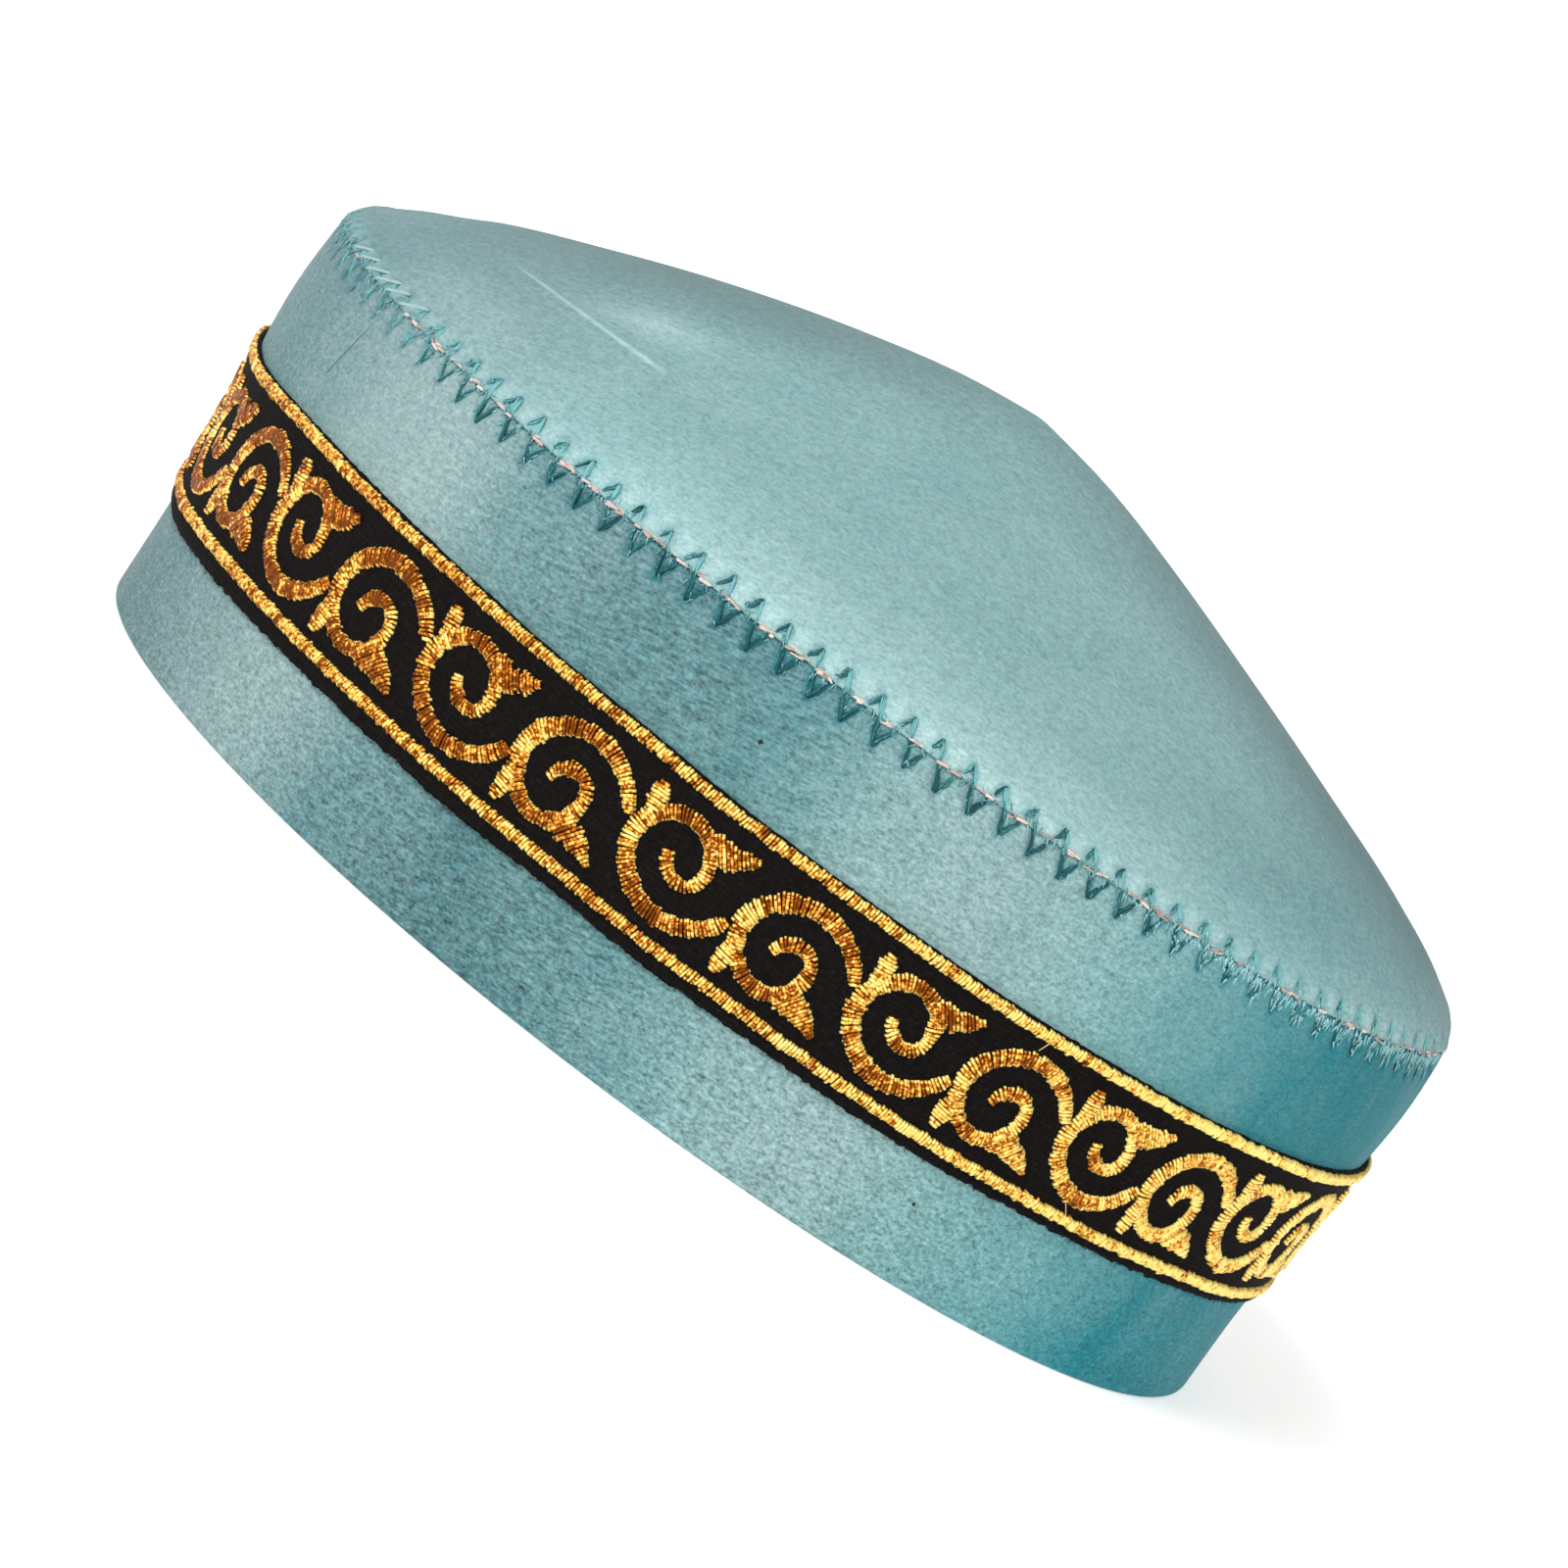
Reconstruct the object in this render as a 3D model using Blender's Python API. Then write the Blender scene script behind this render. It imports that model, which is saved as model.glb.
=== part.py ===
"""Velvet skullcap: an oval side band, a one-piece crown and a black tape with a gold running scroll.

The cap stands on its rim at z = 0 with its long axis along X, and the middle of its box is the origin.
"""

import math

import bmesh
import bpy
import numpy as np

MM = 0.001

# Driving sizes of the cloth cap, measured outside
CAP_LENGTH = 198.5 * MM
CAP_WIDTH = 183.8 * MM
BAND_HEIGHT = 62.9 * MM
CROWN_RISE = 36.9 * MM
CLOTH_WALL = 2.5 * MM
HEM_ROUND = 0.7 * MM
SEAM_ROUND = 0.6 * MM
BAND_LEAN = 3.0 * MM
APEX_DRIFT = 1.7 * MM

# Driving sizes of the trim
TAPE_FOOT = 17.8 * MM
TAPE_WIDTH = 24.8 * MM
TAPE_THICKNESS = 0.5 * MM
SELVEDGE_LOWER = 1.3 * MM
SELVEDGE_UPPER = 0.3 * MM
LOWER_LINE_WIDTH = 1.7 * MM
UPPER_LINE_WIDTH = 1.7 * MM
LINE_ROUND = 0.3 * MM
THREAD_RELIEF = 0.4 * MM
SCROLL_MARGIN_LOWER = 1.3 * MM
SCROLL_MARGIN_UPPER = 1.8 * MM
STROKE_WIDTH = 2.9 * MM
SCROLL_REPEATS = 16
SCROLL_START = 0.648  # share of a repeat from the front's middle to the first bud that points up

# Clearances between pieces that are sewn together
SEAM_GAP = 0.3 * MM
TRIM_GAP = 0.3 * MM

# Fineness of the solids
SIDES = 64
BAND_OUTER_RINGS = 7
BAND_INNER_RINGS = 4
CROWN_OUTER_RINGS = 11
CROWN_INNER_RINGS = 6
TAPE_RINGS = 4
VINE_SECTIONS = 19
GIRTH_SAMPLES = 720
SHOULDER_CROWDING = 1.6  # 1 spaces the crown's rings evenly, and more draws them towards the shoulder

# The band's wall: share of the band's height, and share of the cap's half length and half width there
WALL_SECTION = (
    dict(height=0.00, reach=0.991),
    dict(height=0.25, reach=0.994),
    dict(height=0.50, reach=1.001),
    dict(height=0.75, reach=1.014),
    dict(height=1.00, reach=1.002),
)

# The crown from the seam to the apex: share of the seam's oval, and share of the crown's rise
CROWN_SECTION = (
    dict(reach=1.000, rise=0.000),
    dict(reach=0.985, rise=0.081),
    dict(reach=0.940, rise=0.181),
    dict(reach=0.850, rise=0.307),
    dict(reach=0.700, rise=0.465),
    dict(reach=0.500, rise=0.660),
    dict(reach=0.300, rise=0.830),
    dict(reach=0.150, rise=0.933),
    dict(reach=0.000, rise=1.000),
)

# Half a repeat of the scroll, drawn with its bud pointing down. Along and up are shares of the scroll's
# height, from the bud's axis and from the scroll's middle.
DRAWN_HALF_REPEAT = 1.164
SPIRAL_CENTRE = dict(along=0.525, up=-0.100)
TIP_BEARING = 173

# The vine's stroke: degrees turned clockwise from its inner tip, reach from the spiral's centre as a
# share of the scroll's height, and width as a share of the stroke's
VINE = (
    dict(turn=0, reach=0.139, width=0.10),
    dict(turn=66, reach=0.172, width=0.80),
    dict(turn=129, reach=0.226, width=0.70),
    dict(turn=201, reach=0.221, width=0.80),
    dict(turn=269, reach=0.295, width=0.82),
    dict(turn=322, reach=0.393, width=0.86),
    dict(turn=362, reach=0.481, width=1.00),
    dict(turn=422, reach=0.500, width=0.92),
    dict(turn=482, reach=0.557, width=0.88),
    dict(turn=507, reach=0.600, width=0.75),
)
VINE_END = (0.575, 0.200)  # where the vine stops short of the next half repeat, from the spiral's centre

# What sprouts from the vine's outer side: the turns that it covers, and its outline from the spiral's
# centre as shares of the scroll's height
SPROUTS = (
    dict(
        name="leaf",
        first_turn=205,
        last_turn=245,
        outline=((0.344, -0.164), (0.459, -0.230), (0.557, -0.361), (0.475, -0.369), (0.336, -0.311)),
    ),
    dict(
        name="bud",
        first_turn=318,
        last_turn=350,
        outline=((-0.418, -0.270), (-0.459, -0.393), (-0.566, -0.393), (-0.590, -0.262)),
    ),
)

# Finishes: base colour and roughness
VELVET = dict(colour=(0.19, 0.40, 0.42), roughness=0.95)
TAPE = dict(colour=(0.012, 0.010, 0.010), roughness=0.80)
GOLD_THREAD = dict(colour=(0.72, 0.42, 0.09), roughness=0.40)

# Places that follow from the driving sizes
BAND_TOP = BAND_HEIGHT - SEAM_GAP / 2
CROWN_FOOT = BAND_HEIGHT + SEAM_GAP / 2
TAPE_TOP = TAPE_FOOT + TAPE_WIDTH
TAPE_FACE = TRIM_GAP + TAPE_THICKNESS
THREAD_BACK = TAPE_FACE + TRIM_GAP
THREAD_FACE = THREAD_BACK + THREAD_RELIEF
FIELD_FOOT = TAPE_FOOT + SELVEDGE_LOWER + LOWER_LINE_WIDTH
FIELD_TOP = TAPE_TOP - SELVEDGE_UPPER - UPPER_LINE_WIDTH
SCROLL_FOOT = FIELD_FOOT + SCROLL_MARGIN_LOWER
SCROLL_TOP = FIELD_TOP - SCROLL_MARGIN_UPPER
SCROLL_HEIGHT = SCROLL_TOP - SCROLL_FOOT
SCROLL_MIDDLE = (SCROLL_FOOT + SCROLL_TOP) / 2


def clear_scene():
    """Removes the objects that a new file starts with."""
    for obj in list(bpy.data.objects):
        bpy.data.objects.remove(obj)


def column(rows, name):
    """One named column of a table."""
    return np.array([row[name] for row in rows], float)


def smooth_curve(keys, values, at):
    """Values at the given keys, on a smooth curve through a table's rows."""
    slopes = np.gradient(values, keys)
    start = np.clip(np.searchsorted(keys, at, side="right") - 1, 0, len(keys) - 2)
    span = keys[start + 1] - keys[start]
    t = (at - keys[start]) / span
    rise = values[start + 1] - values[start]
    lift_first = slopes[start] * span - rise
    lift_last = rise - slopes[start + 1] * span
    return values[start] + t * rise + t * (1 - t) * ((1 - t) * lift_first + t * lift_last)


def wall_reach(height):
    """Share of the cap's half length and half width at a height on the band."""
    share = min(max(height / BAND_HEIGHT, 0), 1)
    return float(smooth_curve(column(WALL_SECTION, "height"), column(WALL_SECTION, "reach"), share))


def oval_point(angle, reach, offset, height, drift=0.0):
    """Point of the cap's oval at a height, pushed out by an offset; the band leans a little to -X."""
    centre = -BAND_LEAN * min(height / BAND_HEIGHT, 1) - drift
    return (
        centre + (CAP_LENGTH / 2 * reach + offset) * math.cos(angle),
        (CAP_WIDTH / 2 * reach + offset) * math.sin(angle),
        height,
    )


def oval_ring(reach, offset, height, drift=0.0):
    """Ring of points round the cap's oval."""
    step = 2 * math.pi / SIDES
    return [oval_point(side * step, reach, offset, height, drift) for side in range(SIDES)]


def wall_ring(offset, height):
    """Ring of points round the band, at an offset from the cloth's outside."""
    return oval_ring(wall_reach(height), offset, height)


def material(name, finish):
    """Principled material of one colour and roughness."""
    made = bpy.data.materials.new(name)
    made.use_nodes = True
    shader = made.node_tree.nodes["Principled BSDF"]
    shader.inputs["Base Color"].default_value = (*finish["colour"], 1)
    shader.inputs["Roughness"].default_value = finish["roughness"]
    shader.inputs["Metallic"].default_value = 0
    return made


def add_piece(bm, name, finish, collection):
    """Turns a finished bmesh into a named object with its material."""
    bmesh.ops.recalc_face_normals(bm, faces=bm.faces)
    if bm.calc_volume(signed=True) < 0:
        bmesh.ops.reverse_faces(bm, faces=bm.faces)
    mesh = bpy.data.meshes.new(name)
    bm.to_mesh(mesh)
    bm.free()
    mesh.materials.append(finish)
    mesh.shade_smooth()
    mesh.set_sharp_from_angle(angle=math.radians(40))
    piece = bpy.data.objects.new(name, mesh)
    collection.objects.link(piece)
    return piece


def loft(rings, closed):
    """Surface through rings of points; a ring of one point is a pole."""
    bm = bmesh.new()
    loops = [[bm.verts.new(point) for point in ring] for ring in rings]
    pairs = list(zip(loops, loops[1:]))
    if closed:
        pairs.append((loops[-1], loops[0]))
    for lower, upper in pairs:
        for side in range(SIDES):
            following = (side + 1) % SIDES
            corners = (
                lower[side % len(lower)],
                lower[following % len(lower)],
                upper[following % len(upper)],
                upper[side % len(upper)],
            )
            bm.faces.new(list(dict.fromkeys(corners)))
    return bm


def make_band(finish, collection):
    """Side wall with a folded hem: outside from the rim to the seam, then back down inside."""
    inside = -CLOTH_WALL
    rings = [wall_ring(-HEM_ROUND, 0)]
    for height in np.linspace(HEM_ROUND, BAND_TOP - SEAM_ROUND, BAND_OUTER_RINGS):
        rings.append(wall_ring(0, float(height)))
    rings.append(wall_ring(-SEAM_ROUND, BAND_TOP))
    for height in np.linspace(BAND_TOP, HEM_ROUND, BAND_INNER_RINGS):
        rings.append(wall_ring(inside, float(height)))
    rings.append(wall_ring(inside + HEM_ROUND, 0))
    return add_piece(loft(rings, closed=True), "band", finish, collection)


def crown_stations(count):
    """Reach, height and the outward normal's two parts at stations from the seam to the apex."""
    reach = column(CROWN_SECTION, "reach")
    rise = column(CROWN_SECTION, "rise")
    mean_radius = (CAP_LENGTH + CAP_WIDTH) / 4
    steps = np.hypot(np.diff(reach) * mean_radius, np.diff(rise) * CROWN_RISE)
    along = np.concatenate([[0], np.cumsum(steps)])
    at = along[-1] * np.linspace(0, 1, count + 1) ** SHOULDER_CROWDING
    reaches = np.clip(smooth_curve(along, reach, at), 0, None)
    heights = CROWN_FOOT + smooth_curve(along, rise, at) * (CROWN_RISE - SEAM_GAP / 2)
    in_step = np.gradient(reaches * mean_radius, at)
    up_step = np.gradient(heights, at)
    size = np.hypot(in_step, up_step)
    return [
        dict(reach=float(r), height=float(z), out=float(up / s), up=float(-inward / s))
        for r, z, inward, up, s in zip(reaches, heights, in_step, up_step, size)
    ]


def crown_ring(station, depth):
    """Ring of the crown at a depth under its outside; its centre drifts towards the apex."""
    drift = APEX_DRIFT * (1 - station["reach"])
    reach = station["reach"] * wall_reach(BAND_HEIGHT)
    height = station["height"] - depth * station["up"]
    if station["reach"] == 0:
        return [oval_point(0, 0, 0, height, drift)]
    return oval_ring(reach, -depth * station["out"], height, drift)


def make_crown(finish, collection):
    """One-piece top: from the apex down to its foot at the seam outside, and back up inside."""
    seam_reach = wall_reach(BAND_HEIGHT)
    outside = [crown_ring(station, 0) for station in reversed(crown_stations(CROWN_OUTER_RINGS)[1:])]
    outside.append(oval_ring(seam_reach, 0, CROWN_FOOT + SEAM_ROUND))
    outside.append(oval_ring(seam_reach, -SEAM_ROUND, CROWN_FOOT))
    inside = [oval_ring(seam_reach, -CLOTH_WALL, CROWN_FOOT)]
    inside += [crown_ring(station, CLOTH_WALL) for station in crown_stations(CROWN_INNER_RINGS)[1:]]
    return add_piece(loft(outside + inside, closed=False), "crown", finish, collection)


def make_tape(finish, collection):
    """Black ribbon that lies round the band."""
    heights = [float(height) for height in np.linspace(TAPE_FOOT, TAPE_TOP, TAPE_RINGS)]
    rings = [wall_ring(TAPE_FACE, height) for height in heights]
    rings += [wall_ring(TRIM_GAP, height) for height in reversed(heights)]
    return add_piece(loft(rings, closed=True), "trim_tape", finish, collection)


def make_line(name, foot, top, finish, collection):
    """Raised gold border line with its front edges rounded."""
    rings = [
        wall_ring(THREAD_BACK, foot),
        wall_ring(THREAD_FACE, foot + LINE_ROUND),
        wall_ring(THREAD_FACE, top - LINE_ROUND),
        wall_ring(THREAD_BACK, top),
    ]
    return add_piece(loft(rings, closed=True), name, finish, collection)


def girth_table():
    """Angles round the band from its front, and the girth passed at each, along the tape's middle."""
    angles = np.linspace(-math.pi / 2, 3 * math.pi / 2, GIRTH_SAMPLES + 1)
    reach = wall_reach(SCROLL_MIDDLE)
    points = np.array([oval_point(angle, reach, TAPE_FACE, SCROLL_MIDDLE) for angle in angles])
    steps = np.linalg.norm(np.diff(points, axis=0), axis=1)
    return angles, np.concatenate([[0], np.cumsum(steps)])


def sprouted_side(turns, side, place):
    """The vine's outer side with the leaf's and the bud's outlines put in where they sprout."""
    outline = []
    placed = set()
    for turn, point in zip(turns, side):
        sprout = next((s for s in SPROUTS if s["first_turn"] < turn < s["last_turn"]), None)
        if sprout is None:
            outline.append(tuple(point))
        elif sprout["name"] not in placed:
            outline += [tuple(place(*corner)) for corner in sprout["outline"]]
            placed.add(sprout["name"])
    return outline


def scroll_outline(half_repeat):
    """Flat outline of half a repeat: along the tape from the bud's axis, and up from the scroll's middle."""

    def place(along, up):
        return np.array([
            (SPIRAL_CENTRE["along"] + along) * half_repeat / DRAWN_HALF_REPEAT,
            (SPIRAL_CENTRE["up"] + up) * SCROLL_HEIGHT,
        ])

    keys = column(VINE, "turn")
    turns = np.linspace(0, keys[-1], VINE_SECTIONS)
    reach = smooth_curve(keys, column(VINE, "reach"), turns)
    width = smooth_curve(keys, column(VINE, "width"), turns) * STROKE_WIDTH
    bearing = np.radians(TIP_BEARING - turns)
    line = np.array([place(*pair) for pair in zip(reach * np.cos(bearing), reach * np.sin(bearing))])
    ahead = np.gradient(line, axis=0)
    ahead /= np.linalg.norm(ahead, axis=1)[:, None]
    outward = np.stack([-ahead[:, 1], ahead[:, 0]], axis=1) * width[:, None] / 2
    outer = sprouted_side(turns, line + outward, place)
    inner = [tuple(point) for point in line - outward]
    return outer + [tuple(place(*VINE_END))] + inner[::-1]


def make_scroll_unit(name, outline, bud_at, flip, girths, finish, collection):
    """Half a repeat of the raised scroll, bent round the tape; flip is -1 for one with its bud up."""
    angles, passed = girths
    bm = bmesh.new()
    face = bm.faces.new([bm.verts.new((along, rise * flip, 0)) for along, rise in outline])
    face.normal_update()
    bmesh.ops.triangulate(bm, faces=[face], ngon_method="BEAUTY")
    grown = bmesh.ops.extrude_face_region(bm, geom=bm.faces[:])["geom"]
    for vert in grown:
        if isinstance(vert, bmesh.types.BMVert):
            vert.co.z = THREAD_RELIEF
    for vert in bm.verts:
        angle = float(np.interp((bud_at + vert.co.x) % passed[-1], passed, angles))
        height = SCROLL_MIDDLE + vert.co.y
        vert.co = oval_point(angle, wall_reach(height), THREAD_BACK + vert.co.z, height)
    return add_piece(bm, name, finish, collection)


def make_scroll(finish, collection):
    """Running scroll: the same half repeat, bud up and bud down in turn, all the way round."""
    girths = girth_table()
    half_repeat = girths[1][-1] / (2 * SCROLL_REPEATS)
    outline = scroll_outline(half_repeat)
    pieces = []
    for repeat in range(SCROLL_REPEATS):
        up_at = (2 * (SCROLL_START + repeat)) * half_repeat
        for word, flip, bud_at in (("up", -1, up_at), ("down", 1, up_at + half_repeat)):
            name = f"scroll_{word}_{repeat + 1:02d}"
            pieces.append(make_scroll_unit(name, outline, bud_at, flip, girths, finish, collection))
    return pieces


def centre_on_origin(pieces):
    """Sets the middle of the whole cap's box over the origin."""
    points = np.array([vertex.co for piece in pieces for vertex in piece.data.vertices])
    middle = (points.min(axis=0) + points.max(axis=0)) / 2
    for piece in pieces:
        piece.location = (-middle[0], -middle[1], 0)


def main():
    clear_scene()
    collection = bpy.data.collections.new("skullcap")
    bpy.context.scene.collection.children.link(collection)
    gold = material("gold_thread", GOLD_THREAD)
    pieces = [
        make_band(material("velvet_band", VELVET), collection),
        make_crown(material("velvet_crown", VELVET), collection),
        make_tape(material("black_tape", TAPE), collection),
    ]
    lower_foot = TAPE_FOOT + SELVEDGE_LOWER
    upper_top = TAPE_TOP - SELVEDGE_UPPER
    pieces.append(make_line("gold_line_lower", lower_foot, FIELD_FOOT, gold, collection))
    pieces.append(make_line("gold_line_upper", FIELD_TOP, upper_top, gold, collection))
    pieces += make_scroll(gold, collection)
    centre_on_origin(pieces)


main()
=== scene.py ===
"""Velvet skullcap with a black ribbon, gold satin-stitch embroidery and a hand-worked crown seam."""

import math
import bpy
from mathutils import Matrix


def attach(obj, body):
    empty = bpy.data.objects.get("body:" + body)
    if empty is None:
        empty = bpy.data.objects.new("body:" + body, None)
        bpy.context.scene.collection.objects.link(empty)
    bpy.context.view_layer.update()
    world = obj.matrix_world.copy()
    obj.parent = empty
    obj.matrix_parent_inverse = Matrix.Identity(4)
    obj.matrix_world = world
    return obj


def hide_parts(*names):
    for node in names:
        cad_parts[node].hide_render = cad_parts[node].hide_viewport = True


bl_info = {
    "name": "Embroidered skullcap",
    "version": (1, 0, 0),
    "blender": (4, 5, 0),
    "location": "3D View > Sidebar > Skullcap",
    "description": "Dresses the packed skullcap in velvet, ribbon and thread",
    "category": "Object",
}

from types import SimpleNamespace

import bmesh
import bpy
import numpy as np
from bpy.props import FloatProperty, FloatVectorProperty, IntProperty, PointerProperty
from mathutils import Matrix, Vector

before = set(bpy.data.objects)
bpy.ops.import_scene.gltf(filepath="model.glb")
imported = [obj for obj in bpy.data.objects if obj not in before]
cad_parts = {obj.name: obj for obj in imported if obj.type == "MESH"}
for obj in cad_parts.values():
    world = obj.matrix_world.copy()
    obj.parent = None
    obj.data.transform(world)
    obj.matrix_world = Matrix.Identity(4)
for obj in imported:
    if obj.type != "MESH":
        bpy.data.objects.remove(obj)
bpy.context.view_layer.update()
MM = 0.001
TURN = 2 * math.pi

# Shape of the cap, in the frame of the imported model
HALF_LENGTH = 99.25 * MM
HALF_WIDTH = 91.9 * MM
MEAN_RADIUS = (HALF_LENGTH + HALF_WIDTH) / 2
BAND_HEIGHT = 62.9 * MM
CROWN_FOOT = 63.05 * MM
CROWN_RISE = 36.75 * MM
DRAWN_CROWN_RISE = 36.9 * MM
RIM_CENTRE = 2.003 * MM
BAND_LEAN = 3.0 * MM
APEX_DRIFT = 1.7 * MM
CLOTH_WALL = 2.5 * MM
WALL_HEIGHTS = np.array([0.0, 0.25, 0.5, 0.75, 1.0])
WALL_REACHES = np.array([0.991, 0.994, 1.001, 1.014, 1.002])
CROWN_REACHES = np.array([1.0, 0.985, 0.94, 0.85, 0.7, 0.5, 0.3, 0.15, 0.0])
CROWN_RISES = np.array([0.0, 0.081, 0.181, 0.307, 0.465, 0.66, 0.83, 0.933, 1.0])

# A pressed line in the crown's pile: its two ends, the way across it and its half width
CROWN_CREASE = (
    (-0.0761, -0.0328, 0.0752), (-0.0456, -0.0551, 0.0783), (-0.020, 0.110, 0.994), 0.32 * MM,
)

# Ribbon and embroidery: heights on the band
RIBBON_FOOT = 17.8 * MM
RIBBON_TOP = 42.6 * MM
RIBBON_FACE = 0.8 * MM
LOWER_BORDER = (19.1 * MM, 20.8 * MM)
UPPER_BORDER = (40.6 * MM, 42.3 * MM)
SCROLL_FOOT = 22.1 * MM
SCROLL_TOP = 38.8 * MM
SCROLL_HEIGHT = SCROLL_TOP - SCROLL_FOOT
SCROLL_MIDDLE = (SCROLL_FOOT + SCROLL_TOP) / 2
SCROLL_REPEATS = 16
SCROLL_START = 0.648
STROKE_WIDTH = 2.75 * MM

# How the ribbon wanders as it's sewn on, by the place across the front: its lines, its foot, its scroll
SWAY_AT = np.array([-95, -85, -65, -50, -35, -20, -5, 10, 25, 40, 55, 70, 85, 95]) * MM
SWAY_UPPER = np.array([-0.8, 0.15, 0.6, 0.55, 0.35, 0.45, 0, -0.1, -0.2, -0.35, -0.15, -0.15, 0, 0.1]) * MM
SWAY_LOWER = np.array([-1.0, -0.4, 0.2, 0.2, 0, 0.2, 0, -0.05, -0.25, -0.15, 0.2, 0.2, 0.35, 0.1]) * MM
SWAY_FOOT = np.array([-0.8, -1.0, -1.0, -1.0, -0.9, -0.55, -0.75, -0.5, -0.4, -0.45, -0.25, 0, 0, 0]) * MM
SCROLL_SWAY = -np.array([0.9, 1.5, 2.0, 1.1, 0.9, 0.9, 0.7, 0.7, 0.7, 0.85, 1.35, 2.0, 2.5, 1.8]) * MM

# How far the ends of the band stand out at each height, and how far the crown sinks from left to right
BULGE_AT = np.array([0, 13, 23, 34, 45, 56, 63]) * MM
LEFT_BULGE = np.array([0, 0, 0, -0.1, 0.1, 0.9, 1.0]) * MM
RIGHT_BULGE = np.array([-1.0, -1.1, -0.9, -0.65, -0.3, 0.7, 0.9]) * MM
DROP_AT = np.array([-99, -88, -84, -77, -68, -58, 10, 28, 50, 75, 88, 100]) * MM
CROWN_DROP = np.array([1.5, 1.5, 1.0, 0.6, 0.3, 0, 0, 0.5, 0.75, 0.75, 0.6, 0]) * MM

# Painted shade and painted saturation along the band, from left to right: how light and how deep in colour the
# velvet is painted, greyer where grey sheen is painted in at the left end and deeper teal in the painted shade at
# the right end
BAND_TONES_AT = np.array([-95, -87, -68, -52, -31, -11, 10, 31, 52, 72, 88]) * MM
BAND_PAINTED_SHADE = (0.70, 0.76, 0.79, 0.76, 0.68, 0.68, 0.84, 0.80, 0.91, 0.98, 0.92)
BAND_PAINTED_SATURATION = (0.82, 0.82, 0.82, 0.94, 0.95, 1.04, 1.02, 1.0, 1.17, 1.18, 1.08)

# Starts of the folds that the seam pulls in the left shoulder, in millimetres
SEAM_FOLDS = ((-94.6, -30.3), (-92.9, -35.0), (-90.6, -39.4), (-88.6, -43.2), (-85.6, -47.0), (-82.3, -51.0))

# Stray threads and lint in millimetres: place across the front, height, run, climb, width, height off the cloth
STRAY_GOLD = (
    (65.0, 22.6, 1.5, -1.7, 0.13, 1.35), (49.3, 38.9, 0.8, 2.0, 0.12, 1.35), (25.1, 20.1, 0.9, -0.7, 0.22, 1.35),
)
STRAY_LINT = (
    (-4.0, 50.6, 0.4, 0.5, 0.5, 0.05), (48.6, 11.1, 0.35, 0.30, 0.4, 0.05), (-82.4, 48.2, 3.0, 13.6, 0.06, 0.03),
)

# One half repeat of the scroll: the vine turns outwards from the spiral's tip
DRAWN_HALF_REPEAT = 1.164
SPIRAL_CENTRE = np.array([0.525, -0.100])
TIP_BEARING = 173
VINE_TURNS = np.array([0, 66, 129, 201, 269, 322, 362, 422, 482, 507], float)
VINE_REACHES = np.array([0.139, 0.172, 0.226, 0.221, 0.295, 0.393, 0.481, 0.500, 0.557, 0.600])
VINE_WIDTHS = np.array([0.50, 0.78, 0.70, 0.80, 0.82, 0.86, 1.00, 0.92, 0.88, 0.75])
VINE_END = np.array([0.592, 0.186])
LEAF = (
    (0.250, -0.095), (0.364, -0.149), (0.475, -0.222), (0.550, -0.335), (0.560, -0.365), (0.523, -0.374),
    (0.400, -0.362), (0.263, -0.337), (0.120, -0.345),
)
BUD = (
    (-0.358, -0.235), (-0.372, -0.300), (-0.392, -0.355), (-0.438, -0.398), (-0.486, -0.396),
    (-0.522, -0.360), (-0.535, -0.305), (-0.531, -0.215), (-0.515, -0.135),
)
# Outline, the turns of the vine that it grows from, and the slope of its stitches in degrees
SPROUTS = ((LEAF, (190, 262), -36), (BUD, (318, 350), -98))

# Studio and camera
FLOOR_RADIUS = 1.7
BOWL_RADIUS = 1.6
LAMPS = (
    ("key_light", (-2.0, -2.7, 3.1), 2.2, 130.0),
    ("fill_light", (2.4, -2.6, 1.9), 2.4, 22.0),
)
LAMPS_AIM = Vector((0, 0, 0.05))
EYE = Vector((0.0012, -1.0, 0.1834))
EYE_AIM = Vector((0.0012, 0.0, 0.045))
CAMERA_ROLL = math.radians(37.16)
FOCAL_PIXELS = 7043.29
PHOTO_PIXELS = 1600
OFF_CENTRE_PIXELS = (54.2, 50.5)
SENSOR_WIDTH = 36


def length_property(name, description, default):
    """Property that holds a length; its default is given in millimetres."""
    return FloatProperty(name=name, description=description, default=default * MM, unit="LENGTH")


def colour_property(name, description, default):
    """Property that holds a colour."""
    return FloatVectorProperty(name=name, description=description, default=default, subtype="COLOR", size=3)


class SkullcapSizes(bpy.types.PropertyGroup):
    """Sizes of the cloth's and the threads' detail."""

    around: IntProperty(
        name="Cloth sections", description="Faces round the velvet and the ribbon", default=1024, min=64, max=2048
    )
    grain: length_property("Velvet grain", "Size of one fleck of the pile", 0.42)
    slack: length_property("Cloth slack", "How far the cloth waves off a true oval", 0.22)
    stitch_pitch: length_property("Satin pitch", "From one satin stitch to the next", 0.53)
    stitch_width: length_property("Gold thread width", "Width of one gold thread", 0.66)
    stitch_relief: length_property("Satin relief", "Height of the satin stitch over the ribbon", 0.62)
    zigzag_pitch: length_property("Zigzag pitch", "From one point of the seam's zigzag to the next", 5.235)
    zigzag_drop: length_property("Zigzag drop", "Reach of the zigzag down the band", 3.5)
    zigzag_rise: length_property("Zigzag rise", "Reach of the zigzag up the crown", 2.9)
    zigzag_width: length_property("Zigzag thread width", "Width of the teal thread", 0.47)
    topstitch_width: length_property("Seam thread width", "Width of the pink seam thread", 0.46)
    pile_length: length_property("Pile length", "Length of the pile raised by the seam", 1.1)


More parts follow.
